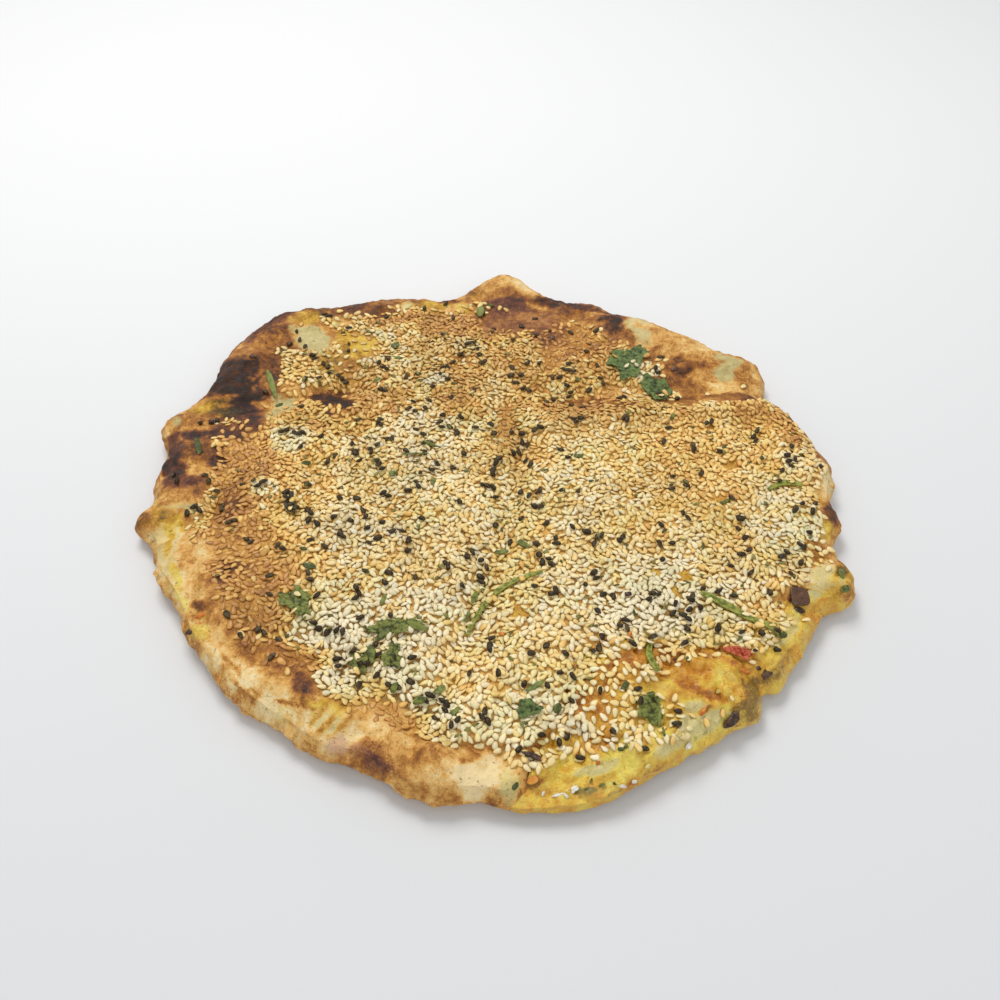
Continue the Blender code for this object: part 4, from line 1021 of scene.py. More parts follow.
# x, y, half length, half width, turn, then how thickly seeds lie
SEED_PATCHES = {
    "left rim": (-116, 5, 60, 15, 90, 0),
    "left toasted band": (-97, -4, 26, 5, 94, 0.55),
    "left brown": (-95, -24, 6, 10, 0, 0.4),
    "upper left rim": (-106, 76, 46, 20, 55, 0),
    "char lobe": (-106, 52, 18, 16, 60, 0),
    "brown band": (-92, 55, 7, 22, 12, 0.05),
    "inner char": (-96, 34, 10, 13, 20, 0),
    "char foot": (-97, 22, 6, 6, 0, 0.25),
    "pale hollow": (-83, 38, 5, 7, 10, 0.15),
    "brown below": (-74, 45, 13, 4, -12, 0.3),
    "brown ground": (-62, 32, 13, 4, -14, 0.6),
    "pale potato": (-75, 82, 12, 10, -40, 0),
    "above the potato": (-64, 92, 6, 7, 30, 0.3),
    "yellow potato": (-57, 74, 9, 11, 20, 0.16),
    "orange potato edge": (-63, 62, 7, 8, 30, 0.2),
    "orange below": (-57, 54, 5, 8, 20, 0.45),
    "dark oval": (-62, 39.2, 10.5, 4.4, -14, 0),
    "back rim left": (-50, 108, 24, 11, 8, 0),
    "yellow back": (-18, 101, 12, 6, 0, 0.45),
    "rim left of the bump": (-16, 110, 14, 4, 4, 0),
    "back bump": (8, 119, 24, 16, 0, 0),
    "back bare": (14, 94, 22, 12, -4, 0.1),
    "back right bare": (46, 96, 26, 11, -25, 0),
    "orange back": (38, 84, 12, 8, -10, 0.24),
    "flap": (92, 66, 34, 19, -32, 0),
    "flap low": (94, 49, 24, 8.5, 2, 0),
    "burn": (78, 57, 6, 10, 0, 0),
    "pale back right": (65, 86, 12, 9, 118, 0),
    "valley": (56, 44, 14, 5, 0, 0.45),
    "crest": (48, 36.5, 18, 3, -6, 0.45),
    "crest right": (92, 40, 22, 3.4, 4, 0.1),
    "lower left bare": (-104, -58, 44, 17, -57, 0),
    "lower left band": (-84, -58, 32, 7, -62, 0.5),
    "near left bare": (-67, -104, 44, 15, -34, 0),
    "near left band": (-66, -86, 14, 4.5, -16, 0.26),
    "near bare": (-32, -119, 24, 10, -16, 0),
    "near band": (-32, -106, 14, 4, -22, 0.45),
    "bottom puff": (-6, -129, 16, 10.5, 0, 0),
    "bare gold": (67, -96, 20, 12, 25, 0),
    "strewn orange": (38, -99, 9, 15, 0, 0.42),
    "strewn near": (24, -118, 14, 4, 6, 0.4),
    "near edge": (32, -128, 34, 7.5, 12, 0.02),
    "filling right": (92, -91, 20, 9, 48, 0),
    "right edge band": (114, -68, 17, 7, 45, 0),
    "right bump": (115, -54, 9, 9, 30, 0.06),
    "knob": (124, -26, 5, 14, 0, 0),
    "right orange": (115, -42, 6, 6, 0, 0.3),
    "right blister": (103.6, -63.5, 6.4, 7.5, 0, 0),
    "pale patch": (-97, -41, 5, 6, 0, 0.08),
    "reddish blister": (-55.5, -96, 7, 4.6, -40, 0),
    "spike": (-118, -27, 12, 9, 0, 0),
    "orange back 2": (30, 72, 9, 8, 0, 0.4),
    "upper left tan": (-98, 75, 8, 12, 0, 0),
    "red brown back": (26, 66, 5, 9, 10, 0.35),
    "gold back": (43, 66, 3, 12, 0, 0.5),
    "brown of the upper middle": (20, 46, 5, 5, 0, 0.45),
    "brown of the upper middle 2": (-12, 64, 4, 6, 0, 0.5),
    "gold of the upper middle": (12, 61, 5, 3.4, 0, 0.4),
    "corner of the bare gold": (80, -92, 8, 8, 0, 0),
    "knob side": (83, -99, 8, 8, 0, 0),
    "strewn gold": (54, -108, 9, 8, 0, 0.3),
    "bare orange": (50, -85, 8, 3.4, 8, 0.16),
    "orange fleck 1": (10.5, -67.5, 2.8, 2.2, 0, 0.1),
    "orange fleck 2": (56.7, -50.5, 1.9, 1.9, 0, 0.1),
    "orange fleck 3": (67.5, -52.6, 2.3, 2.1, 0, 0.1),
    "orange fleck 4": (62.4, -58.6, 1.7, 2.6, 0, 0.1),
    "toasted side": (-84, -42, 9, 22, 16, 0.55),
    "brown crest": (46, 39, 14, 3.4, 0, 0.3),
    "crease brown": (6, 26, 3.2, 12, -8, 0.45),
    "orange fleck 5": (91, 2, 3.2, 3, 0, 0.25),
    "orange fleck 6": (84, -17.6, 4, 2.2, 0, 0.25),
    "orange fleck 7": (87, 23, 2.4, 2, 0, 0.25),
}
print("patches of seed", len(SEED_PATCHES))

# %% How toasted the seeds are, and how much painted shade they get
# x, y, half length, half width, turn, then how toasted the seeds are
TINT_PATCHES = {
    "left": (-80, 0, 24, 70, 0, 0.48),
    "far left": (-94, -2, 12, 60, 0, 0.58),
    "left brown": (-92, -20, 8, 13, 10, 0.86),
    "lower left": (-82, -58, 12, 24, 25, 0.66),
    "upper": (10, 62, 64, 24, 0, 0.49),
    "upper left strip": (-76, 58, 9, 17, 35, 0.36),
    "back": (0, 90, 50, 10, 0, 0.66),
    "upper orange": (-4, 52, 14, 12, 0, 0.54),
    "crest": (42, 33, 52, 8, -4, 0.52),
    "right": (72, 4, 38, 26, 0, 0.34),
    "right rim": (115, 22, 18, 6, 113, 0.66),
    "white left": (-77, 15, 9, 7, 0, 0.08),
    "white left 2": (-84, -10, 7, 4, -10, 0.14),
    "white middle": (-28, 18, 18, 13, 0, 0.12),
    "pale middle": (-20, -25, 34, 22, 0, 0.19),
    "white near left": (-36, -78, 28, 22, 0, 0.02),
    "white drift": (-50, -78, 12, 8, -15, -0.08),
    "near": (30, -92, 30, 24, 0, 0.2),
    "near pale": (10, -110, 30, 10, 0, 0.06),
    "groove": (-24, -99, 14, 5, -38, -0.08),
    "white near right": (58, -62, 28, 14, 0, 0.02),
    "white drift right": (56, -68, 12, 6, 5, -0.1),
    "white right": (104, -28, 10, 24, 0, 0.08),
    "white right 2": (110, 4, 6, 5, 0, 0.02),
    "leaf ground": (64, 58, 8, 6, 0, 0.05),
    "near groove band": (-64, -85, 14, 5, -16, 0.78),
    "near rim band": (-32, -107, 15, 5, -22, 0.6),
    "crease": (12, 14, 9, 12, 0, 0.42),
    "left of middle": (-54, 30, 14, 10, 0, 0.52),
    "lower left inner": (-70, -50, 9, 12, 20, 0.46),
    "orange back": (30, 72, 12, 9, 0, 0.66),
    "bright right": (88, 8, 20, 14, 0, 0.3),
    "cream of the upper middle": (4, 48, 7, 9, 0, 0.26),
    "cream of the upper left": (-38, 68, 9, 10, 0, 0.28),
    "cream by the valley": (29, 45, 5, 6, 0, 0.24),
    "flour": (-22, 52, 4.5, 5, -30, 0),
    "brown of the upper middle": (-14, 42, 9, 7, 0, 0.62),
    "brown by the back": (36, 82, 16, 8, -10, 0.74),
    "crease brown": (8, 24, 4, 13, -8, 0.6),
    "near left band 2": (-76, -80, 9, 4, -20, 0.8),
    "left side": (-86, -40, 8, 24, 14, 0.66),
    "gold of the crest right": (74, 30, 22, 8, 0, 0.48),
    "toasted right rim": (108, 24, 20, 7, -52, 0.62),
    "gold right": (86, 12, 22, 14, 0, 0.4),
    "cream right of the middle": (36, -12, 17, 26, 0, 0.2),
    "cream left": (-68, -20, 9, 14, 0, 0.34),
    "brown left of the upper middle": (-50, 40, 15, 14, 0, 0.58),
    "cream by the top": (-10, 70, 9, 7, 0, 0.26),
    "brown lower left": (-74, -60, 9, 14, 25, 0.64),
    "far left 2": (-92, 8, 8, 14, 0, 0.68),
}
# x, y, half length, half width, turn, then how much painted shade darkens the seeds there
PAINTED_SHADE_PATCHES = {
    "upper": (0, 60, 92, 28, 0, 0.55),
    "row under the crest": (32, 30, 62, 10, 0, 0.45),
    "middle of the crease": (8, 16, 8, 22, 8, 0.75),
    "left of the middle": (-32, 8, 22, 26, 0, 0.45),
    "left low": (-36, -34, 22, 20, 0, 0.38),
    "low crease": (-8, -50, 8, 16, 0, 0.45),
    "right of the crease": (52, -12, 9, 9, 0, 0.35),
    "right": (88, 8, 22, 16, 0, -0.05),
    "middle": (-10, -10, 10, 8, 0, 0.05),
    "far left": (-88, 0, 14, 60, 0, 0.35),
    "near": (20, -92, 76, 24, 0, 0.02),
    "lower left": (-72, -58, 12, 18, 20, 0.45),
}
print("patches of tint", len(TINT_PATCHES), "and of dimness", len(PAINTED_SHADE_PATCHES))

# %% Where the nigella lies
# x, y, half length, half width, turn, then how many nigella seeds lie on a square millimetre
NIGELLA_PATCHES = {
    "left": (-100, -4, 16, 16, 0, 0),
    "left white drift": (-78, 18, 4, 3, 0, 0.03),
    "middle crease": (4, 0, 3, 18, 8, 0.008),
    "crease": (-3, -50, 3, 22, 14, 0.016),
    "low drift": (-53, -75, 7, 2.4, -15, 0.04),
    "groove drift": (-38, -92, 8, 3, -40, 0.03),
    "groove drift 2": (-16, -104, 11, 3.2, -40, 0.055),
    "right white drift": (58, -67, 12, 5, 8, 0.035),
    "right white drift 2": (44, -74, 4, 3, 0, 0.03),
    "upper": (0, 58, 70, 22, 0, 0.0045),
    "right": (80, 6, 30, 24, 0, 0.001),
    "back": (0, 100, 90, 18, 0, 0),
    "near": (20, -100, 30, 14, 0, 0.001),
    "bare gold": (66, -98, 24, 16, 20, 0),
    "near edge": (30, -126, 34, 10, 10, 0),
    "flap": (90, 62, 30, 16, -28, 0),
    "knob side": (83, -97, 12, 12, 0, 0),
    "near left thin": (-31, -92, 11, 8, 0, 0.003),
}
# Nigella seeds with a place of their own, as drawn: x, y in millimetres
NIGELLA_PLACES = (
    (46.5, -81.5), (36, -83), (34, -84.5), (19, -82), (14.5, -85), (25, -85), (12, -96.5), (19, -97),
    (27, -95), (23, -92), (35, -98), (26, -103), (47, -99), (47, -103.5), (58, -105.5), (57, -109.5),
    (38, -113), (0, -106), (1, -110), (-1, -108), (-8, -109), (-10, -111), (17, -116), (22, -117.5),
    (24.5, -115), (28, -123), (47, -118.5), (63, -81), (74.5, -76), (82, -76.5), (88, -77.5), (93, -78),
    (92.5, -83), (88, -93), (53, -79), (4, -92), (-5, -93), (2, -79), (45, -72), (43, -74.5), (37, -79),
    (10, -119), (13, -121), (66, -73), (65, -76), (-116, -4), (-114, -7), (-105, -4), (-103, -8), (-99, -13),
    (-106, -21), (-104, -23), (-108, -24), (-90, -9), (-84, -11), (-82, -9), (-86, -8), (-84, -36),
    (-82, -37), (-70, -22), (-68, -23), (-72, -40), (-70, -41), (-61, -37), (-63, -28), (-60, -29),
    (-56, -40), (-41, -38), (-33, -33), (-27, -38), (-27, -42), (-73, -53), (-60, -52), (-59, -55),
    (-33, -52), (-34, -56), (-24, -54), (-41, -51), (-72, -61), (-56, -62), (-43, -63), (-42, -61),
    (-56, -73), (-54, -75.5), (-51, -77), (-48, -76), (-46, -77.5), (-41, -71), (-31, -70), (-78, -77.5),
    (-73, -75), (-71, -76), (-66, -79), (-67, -85), (-35, -82), (-34, -86), (-42, -86), (-47, -88),
    (-46, -91), (-39, -97), (-34, -94), (-30, -97), (-27, -98.5), (-23, -96), (-43, -59), (-14, -48),
    (-13, -50), (-5, -43), (-2, -47), (0, -50), (-2, -54), (-8, -58), (16, -58), (36, -52), (37, -54.5),
    (60, -46), (60, -39), (64, -39), (-83, 84), (-81, 78), (-85, 75), (-74, 67), (-73, 65), (-69, 62),
    (-67, 60), (-62, 54), (-75, 51), (-61, 86), (-63, 83), (-59, 70), (-46, 61), (-44, 58), (-42, 57),
    (-44, 45), (-42, 44), (-34, 52), (-29, 54), (-20, 54), (-17, 51), (-23, 46), (-15, 40), (-30, 37),
    (-24, 37), (-25, 32), (-32, 33), (-29, 31), (-40, 74), (-20, 81), (-5, 71), (-4, 67), (-15, 63), (9, 53),
    (13, 53.5), (16, 44), (14, 45.5), (11, 49), (16, 62), (21, 61), (33, 61), (35, 56), (26, 52), (29, 52),
    (23, 37), (26, 38.5), (46, 84), (45, 60), (46, 52), (47, 49), (53, 40), (55, 41.5), (-20, 106),
    (-29, 101), (-16, 94), (-45, 94), (-72, 95), (-70, 94), (14, 88), (26, 85), (20, 94), (1, 84), (2, 87),
    (-3, 97), (10, 78), (41, 70), (76, 40), (69, 58), (70, 56), (53, 27), (54, 25.5), (34, 24), (33, 27),
    (36, 26), (-42, 23), (-42, 26), (-43, 24), (-19, 24), (-18, 21), (-15, 22), (-5, 21), (1, 23), (2, 18),
    (-28, 20), (-25, 17.5), (9, 19), (13, 18), (18, 19.5), (20, 21), (-11, 27), (-22, 12), (-24, 12),
    (-52, 12), (-51, 8), (-50, 6.5), (-42, 11), (-31, 8), (-24, 7), (13, 13), (15, 11.5), (30, 4.5), (14, 2),
    (16, 1), (4, 3.5), (3, 1), (2, -2.5), (2, -5), (-19, 1), (-21, -2), (-13, -1), (-25, -4), (-39, -2.5),
    (-58, 5), (-53, -17), (-47, -17), (-38, -15), (-36, -16), (-29, -13), (-54, -26), (-43, -26), (-42, -32),
    (-37, -29), (-23, -27), (-10, -19), (0, -11), (-2, -10), (2, -12), (3, -16.5), (12, -14), (15, -16),
    (19, -13), (18, -15), (27, -13), (33, -13), (17, -21), (19, -21.5), (3, -31), (12, -27), (30, -31),
    (21, -29), (35, -33), (24, -36), (24, -39), (38, -36), (37, -39), (8, -38), (17, -39), (18, -44),
    (21, -46), (-38, -36), (-27, -38), (-48, -28), (-80, 19), (-78, 20), (-75, 18.5), (-73, 17), (-72, 19),
    (-113, 25), (102, 13), (102, 16), (104, 19), (115, 10), (112, 5), (115, 3), (109, -3), (107, -8.5),
    (78, 11), (78, 8.5), (67, 13), (68, -6), (67, -12), (79, -4), (88, -17), (89, -27), (90, -28), (71, -27),
    (61, -30), (88, -32), (90, -36), (112, -34), (112, -20), (109, -23), (115, -23.5), (117, -20),
    (108, -39), (109, -41), (103, -43), (101, -44.5), (107, -48), (102, -52), (87, -44), (90, -42),
    (83, -49), (89, -52), (72, -59), (68, -62), (67, -63.5), (77, -60), (82, -62), (94, -61), (62, -66),
    (61, -69), (70, -67), (75, -76.5), (-66, -10), (-60, 2), (72, 66), (42, -62), (33, -57),
)
print("nigella seeds with a place of their own", len(NIGELLA_PLACES))


# %% The four maps
def share_at(x, y, start, patches, **borders):
    """One share at each place, from patches with one value each."""
    return pull_to_patches(x, y, (start,), patches, **borders)[0]


def off_the_rim(x, y):
    """0 on the bare rim, 1 inside it."""
    bearing, inside = inside_edge(x, y)
    width = np.interp(bearing, *zip(*BARE_RIM)) * MM + 0.0012 * rough_noise(x, y, 0.005, 77)
    return smooth((inside - width) / 0.003)


map_drawn = leaned(map_y, ground)
map_rim = off_the_rim(map_x, map_y)
map_thick = share_at(map_x, map_drawn, 1.0, SEED_PATCHES, blur=0.35, raggedness=0.6) * map_rim
map_thick = map_thick * (1 - 0.32 * smooth((rough_noise(map_x, map_drawn, 0.0065, 89) - 0.22) / 0.35))
# Painted shade on the seeds: a grey darkening, strongest in the creases, under the crest and over the upper
# part
map_painted_shade = share_at(map_x, map_drawn, 0.20, PAINTED_SHADE_PATCHES)
drifts = rough_noise(map_x, map_drawn, 0.0115, 83)
map_tint = share_at(map_x, map_drawn, 0.26, TINT_PATCHES) + drifts * (0.05 + 0.12 * map_painted_shade)
map_painted_shade = map_painted_shade + 0.25 * rough_noise(map_x, map_drawn, 0.0085, 87)
map_nigella = share_at(map_x, map_drawn, 0.0020, NIGELLA_PATCHES) * (map_rim > 0.5)
x, y, z = places(dough).T
sown = share_at(x, leaned(y, z), 1.0, SEED_PATCHES, blur=0.35, raggedness=0.6) * off_the_rim(x, y)
put_share(dough, "sown", np.clip(sown, 0, 1))
print("mean thickness of seed", round(float(map_thick[map_inside > 0].mean()), 3))

# %% [markdown]
# The places come from dart throwing: a place is kept if no seed that is there already lies closer than the
# spacing at that place. The spacing widens where the seeds are sparse. A seed is about 3 by 2 mm, so a
# spacing of 1.35 mm lets neighbours overlap like scales.

# %% Throwing the seeds
SPACING = 0.00135
WIDEST_SPACING = 0.0084
BIN = WIDEST_SPACING / 2
DARTS = 180000
EDGE_CLEAR = 0.003  # no seed lies closer to the outline
NONE_UNDER, SOME_UNDER = 0.12, 0.34  # where they lie thinner than this, more of them are left out

draw = random.Random(7)


def throw():
    """A random place on the map, with its row and its column."""
    px, py = draw.uniform(-REACH, REACH), draw.uniform(-REACH, REACH)
    return px, py, *cell_of(px, py)


kept = []
bins = {}
for _ in range(DARTS):
    px, py, row, column = throw()
    thick = map_thick[row, column]
    if map_inside[row, column] < EDGE_CLEAR or draw.random() > 0.25 + thick:
        continue
    spacing = SPACING / math.sqrt(max(thick, 0.004)) if thick < 0.98 else SPACING
    spacing = min(spacing, WIDEST_SPACING)
    here = (int((px + REACH) / BIN), int((py + REACH) / BIN))
    near = [bins.get((here[0] + a, here[1] + b), ()) for a in range(-2, 3) for b in range(-2, 3)]
    if any((px - qx) ** 2 + (py - qy) ** 2 < spacing**2 for group in near for qx, qy in group):
        continue
    if thick < SOME_UNDER and draw.random() > (thick - NONE_UNDER) * 4.5:
        continue
    bins.setdefault(here, []).append((px, py))
    kept.append((px, py, row, column))
print("seeds thrown", len(kept))

# %% [markdown]
# To lay a seed, the heights under it are read at 19 points. Their mean and their slopes are the seed's own,
# and it is raised until almost nothing below sticks through it. Then its upper side is written on the map.

# %% Laying seeds on the map
DISC = [(0.0, 0.0)]
DISC += [(0.5 * math.cos(a * math.pi / 3), 0.5 * math.sin(a * math.pi / 3)) for a in range(6)]
DISC += [(0.9 * math.cos(a * math.pi / 6), 0.9 * math.sin(a * math.pi / 6)) for a in range(12)]
DISC = np.array(DISC)
DISC_SQUARE = (DISC**2).sum(0)
WINDOW = 6
window_y, window_x = np.mgrid[-WINDOW : WINDOW + 1, -WINDOW : WINDOW + 1] * CELL
STEEPEST = 0.42


def lay_seed(px, py, turn, half_length, half_width, half_thick, sunk):
    """Lays a seed on the map. Gives its middle and its two slopes, along and across."""
    c, s = math.cos(turn), math.sin(turn)
    along, across = DISC[:, 0] * half_length, DISC[:, 1] * half_width
    below = ground[cells_of(px + along * c - across * s, py + along * s + across * c)]
    middle = below.mean()
    slope_along = (below * DISC[:, 0]).sum() / DISC_SQUARE[0] / half_length
    slope_across = (below * DISC[:, 1]).sum() / DISC_SQUARE[1] / half_width
    slope_along = min(max(slope_along, -STEEPEST), STEEPEST)
    slope_across = min(max(slope_across, -STEEPEST), STEEPEST)
    over = np.sort(below - middle - slope_along * along - slope_across * across)[-3]
    height = middle + 0.75 * max(over, 0) + half_thick * (1 - sunk)
    row, column = cell_of(px, py)
    part = np.s_[row - WINDOW : row + WINDOW + 1, column - WINDOW : column + WINDOW + 1]
    u = window_x * c + window_y * s
    v = -window_x * s + window_y * c
    far = (u / half_length) ** 2 + (v / half_width) ** 2
    upper = height + slope_along * u + slope_across * v + half_thick * np.sqrt(np.clip(1 - far, 0, 1))
    ground[part] = np.where(far < 1, np.maximum(ground[part], upper), ground[part])
    return height, slope_along, slope_across


print("points under a seed", len(DISC))

# %% [markdown]
# No two seeds are alike: each is a little longer, wider, browner or brighter than the next. Seeds that are
# toasted have been baked into the crust, so they lie deeper. A tenth of the sesame waits until the leaves
# lie, because some seeds stick to them.
#
# Most of the nigella has places of its own, and the rest is thrown where the patches allow, half of it in
# pairs. The places are given as the camera sees them, so the true one is found by going back along the lean.

# %% Sowing
SESAME = (0.00153, 0.00098, 0.00038)
NIGELLA = (0.00150, 0.00092, 0.00062)
BAKED_IN = 0.55  # how much deeper a toasted seed lies, as a share of its half thickness
seeds = {"sesame": [], "nigella": []}


def sow(kind, size, places_here, sunk):
    """Lays seeds of one kind, each a little different, and notes where they came to lie."""
    for px, py, row, column in places_here:
        turn = draw.uniform(0, 2 * math.pi)
        grown = draw.gauss(1, 0.07)
        half_length = size[0] * grown * draw.gauss(1, 0.05)
        half_width = size[1] * grown * draw.gauss(1, 0.07)
        half = (half_length, half_width, size[2] * draw.gauss(1, 0.1))
        deeper = sunk + BAKED_IN * float(smooth((map_tint[row, column] - 0.38) / 0.3))
        height, slope_along, slope_across = lay_seed(px, py, turn, *half, deeper)
        tint = map_tint[row, column] + draw.gauss(0, 0.09)
        # Each seed's painted shade, with a little of its own
        dim = map_painted_shade[row, column] + draw.gauss(0, 0.14)
        roll = draw.gauss(0, 0.15)
        pitch = draw.gauss(0, 0.09)
        slopes = (slope_along + pitch, slope_across + roll)
        seeds[kind].append((px, py, height, turn, *slopes, *half, dim, tint))


def true_place(x, y):
    """The place on the map of a point of the drawing, in millimetres, with its row and column."""
    px, py = x * MM, y * MM
    for _ in range(6):
        py = 0.5 * py + 0.5 * (y * MM + (DRAWN_AT - ground[cell_of(px, py)]) * LEAN)
    return px, py, *cell_of(px, py)


NIGELLA_DARTS = 4000
NIGELLA_MOST = 0.06  # on a square millimetre, which all of the darts would give
NIGELLA_SPACING = 0.0019
PAIR_CHANCE = 0.5
PAIR_APART = 0.0021
black = [true_place(*place) for place in NIGELLA_PLACES]
for _ in range(NIGELLA_DARTS):
    px, py, row, column = throw()
    if draw.random() * NIGELLA_MOST > map_nigella[row, column]:
        continue
    places_here = [(px, py)]
    if draw.random() < PAIR_CHANCE:
        turn = draw.uniform(0, 2 * math.pi)
        places_here.append((px + PAIR_APART * math.cos(turn), py + PAIR_APART * math.sin(turn)))
    for qx, qy in places_here:
        if all(math.hypot(qx - place[0], qy - place[1]) > NIGELLA_SPACING for place in black):
            black.append((qx, qy, *cell_of(qx, qy)))

draw.shuffle(kept)
late = len(kept) // 10
sow("sesame", SESAME, kept[late:], 0.35)
print("sesame", len(kept), "nigella", len(black))

# %% [markdown]
# ## Leaves, stems and flakes
#
# Chopped coriander, a few stems, a charred flake of onion and a piece of red pepper were strewn with the
# seeds. The solid has each as a thin wavy sheet. Here each is drawn finer, at the same place: a grid is bent
# to a leaf's outline, laid on the map of heights, crinkled, and given a thickness.

# %% Places of the leaves and strips
LEAF_CELLS = 36
LEAF_THICK = 0.00035
STRIP_CELLS = (60, 6)
STRIP_THICK = 0.0006
# x, y, half length, half width, turn, lobes
LEAVES = {
    "coriander_leaf_1": (0.058, 0.0635, 0.011, 0.0078, 60, 3),
    "coriander_leaf_2": (0.0685, 0.047, 0.0092, 0.0058, -75, 3),
    "coriander_leaf_3": (-0.0625, -0.064, 0.0072, 0.0048, -45, 3),
    "coriander_leaf_4": (-0.029, -0.0745, 0.0095, 0.0034, 8, 2),
    "coriander_leaf_5": (-0.0395, -0.0862, 0.0048, 0.0036, 60, 3),
    "coriander_leaf_6": (-0.029, -0.0858, 0.0048, 0.0036, 100, 3),
    "coriander_leaf_7": (0.05, -0.104, 0.0058, 0.004, 80, 3),
    "coriander_leaf_8": (0.013, -0.105, 0.0042, 0.0034, 0, 3),
    "onion_flake": (-0.071, -0.0195, 0.0062, 0.0026, -65, 2),
    "pepper_flake": (0.0795, -0.0835, 0.0045, 0.0025, -10, 2),
}
# half width, start, end, bend
STRIPS = {
    "herb_strip_1": (0.0013, (0.071, -0.061), (0.0945, -0.0775), (0.084, -0.068)),
    "herb_strip_2": (0.0011, (0.102, -0.013), (0.115, -0.0108), (0.111, -0.007)),
    "herb_strip_3": (0.0009, (-0.006, -0.076), (0.019, -0.051), (-0.002, -0.058)),
    "herb_strip_4": (0.0011, (0.0525, -0.08), (0.0535, -0.0915), (0.05, -0.086)),
}
print("leaves and flakes", len(LEAVES), "strips", len(STRIPS))


# %% A sheet laid on the map
def map_under(x, y, reach):
    """The highest point of the map within reach of each place."""
    best = np.full(np.shape(x), -1.0)
    for dx in (-reach, 0, reach):
        for dy in (-reach, 0, reach):
            best = np.maximum(best, ground[cells_of(x + dx, y + dy)])
    return best


def lay_sheet(name, across, deep, flat, crinkle, thick):
    """Bends a thin grid to a flat shape, lays it crinkled on what is below, and gives it a thickness."""
    bpy.ops.mesh.primitive_grid_add(x_subdivisions=across, y_subdivisions=deep, size=2)
    piece = bpy.context.object
    piece.name = name
    piece.data.name = name
    u, v, _ = places(piece).T
    x, y = flat(u, v)
    wrinkles = 1 + noise(x, y, 0.0024, 91) + 0.6 * noise(x, y, 0.0012, 92) + 0.4 * noise(x, y, 0.0007, 93)
    z = 0.35 * map_under(x, y, 0.0005) + 0.65 * map_under(x, y, 0.0014) + crinkle * wrinkles
    put_places(piece, x, y, z)
    skin = piece.modifiers.new("Thickness", "SOLIDIFY")
    skin.thickness = thick
    skin.offset = 1
    bpy.ops.object.modifier_apply(modifier=skin.name)
    bpy.ops.object.shade_smooth()
    np.maximum.at(ground, cells_of(x, y), z + thick)
    put_share(piece, "vein", np.tile(np.abs(v), 2)[: len(piece.data.vertices)])
    return piece


first_leaf = np.array(LEAVES["coriander_leaf_1"][:2])
print("under the first leaf in mm", round(1000 * float(map_under(*first_leaf, 0.0005)), 2))


# %% Leaves and strips
def leaf(name, centre_x, centre_y, half_length, half_width, turn, count, crinkle=0.0006):
    """A coriander leaf: an oval with toothed lobes."""
    c, s = math.cos(math.radians(turn)), math.sin(math.radians(turn))

    def flat(u, v):
        share = np.maximum(abs(u), abs(v))
        angle = np.arctan2(v, u)
        lobe = 1 - 0.38 * share * np.abs(np.sin(count * angle / 2 + 0.5)) ** 5
        lobe = lobe + share * (0.07 * np.cos(9 * angle) + 0.04 * np.cos(17 * angle + 1))
        along = share * half_length * lobe * np.cos(angle)
        across = share * half_width * lobe * np.sin(angle)
        return centre_x + along * c - across * s, centre_y + along * s + across * c

    return lay_sheet(name, LEAF_CELLS, LEAF_CELLS, flat, crinkle, LEAF_THICK)


def strip(name, half_width, start, end, bend):
    """A strip of stem or leaf that follows one soft bend."""

    def flat(u, v):
        t = (u + 1) / 2
        x, y = ((1 - t) ** 2 * start[k] + 2 * t * (1 - t) * bend[k] + t**2 * end[k] for k in (0, 1))
        run_x, run_y = (2 * (1 - t) * (bend[k] - start[k]) + 2 * t * (end[k] - bend[k]) for k in (0, 1))
        half = v * half_width * (1 - 0.5 * u**4)
        return x - half * run_y / np.hypot(run_x, run_y), y + half * run_x / np.hypot(run_x, run_y)

    return lay_sheet(name, *STRIP_CELLS, flat, 0.0002, STRIP_THICK)


herbs = [leaf("fresh_" + name, *shape) for name, shape in LEAVES.items()]
herbs += [strip("fresh_" + name, *shape) for name, shape in STRIPS.items()]
print("leaves and strips", len(herbs))

# %% The last seeds
sow("sesame", SESAME, kept[:late], 0.1)
sow("nigella", NIGELLA, black, 0.1)
print("seeds laid", {kind: len(laid) for kind, laid in seeds.items()})

# %% [markdown]
# A seed's own shape is a drop, flatter than it is wide. One drop of four rings and six sides is made, and
# all the seeds of a kind are copies of it joined into one mesh, which is quick to build from arrays. The
# sesame becomes three pieces, by how far it is toasted, so that no piece grows too large.

# %% One drop
RINGS = 4
SIDES = 6


def drop(pointed, flat_under):
    """The vertices and triangles of a unit drop that lies along X, its tip at +1."""
    rows = [(-1.0, 0.0)]
    for k in range(1, RINGS + 1):
        u = -math.cos(math.pi * k / (RINGS + 1))
        rows.append((u, math.sqrt(1 - u * u) ** 0.9 * (1 - pointed * u)))
    rows.append((1.0, 0.0))
    vertices = [(rows[0][0], 0, 0)]
    for u, r in rows[1:-1]:
        for k in range(SIDES):
            a = 2 * math.pi * k / SIDES
            up = math.sin(a)
            vertices.append((u, r * math.cos(a), r * (up if up > 0 else up * flat_under)))
    vertices.append((rows[-1][0], 0, 0))
    faces = []
    last = len(vertices) - 1
    for k in range(SIDES):
        m = (k + 1) % SIDES
        faces.append((0, 1 + m, 1 + k))
        for ring in range(RINGS - 1):
            a, b = 1 + ring * SIDES, 1 + (ring + 1) * SIDES
            faces += [(a + k, a + m, b + k), (a + m, b + m, b + k)]
        faces.append((last, last - SIDES + k, last - SIDES + m))
    return np.array(vertices), np.array(faces)


sesame_drop = drop(0.30, 0.7)
nigella_drop = drop(0.24, 0.9)
print("a seed has", len(sesame_drop[1]), "triangles")


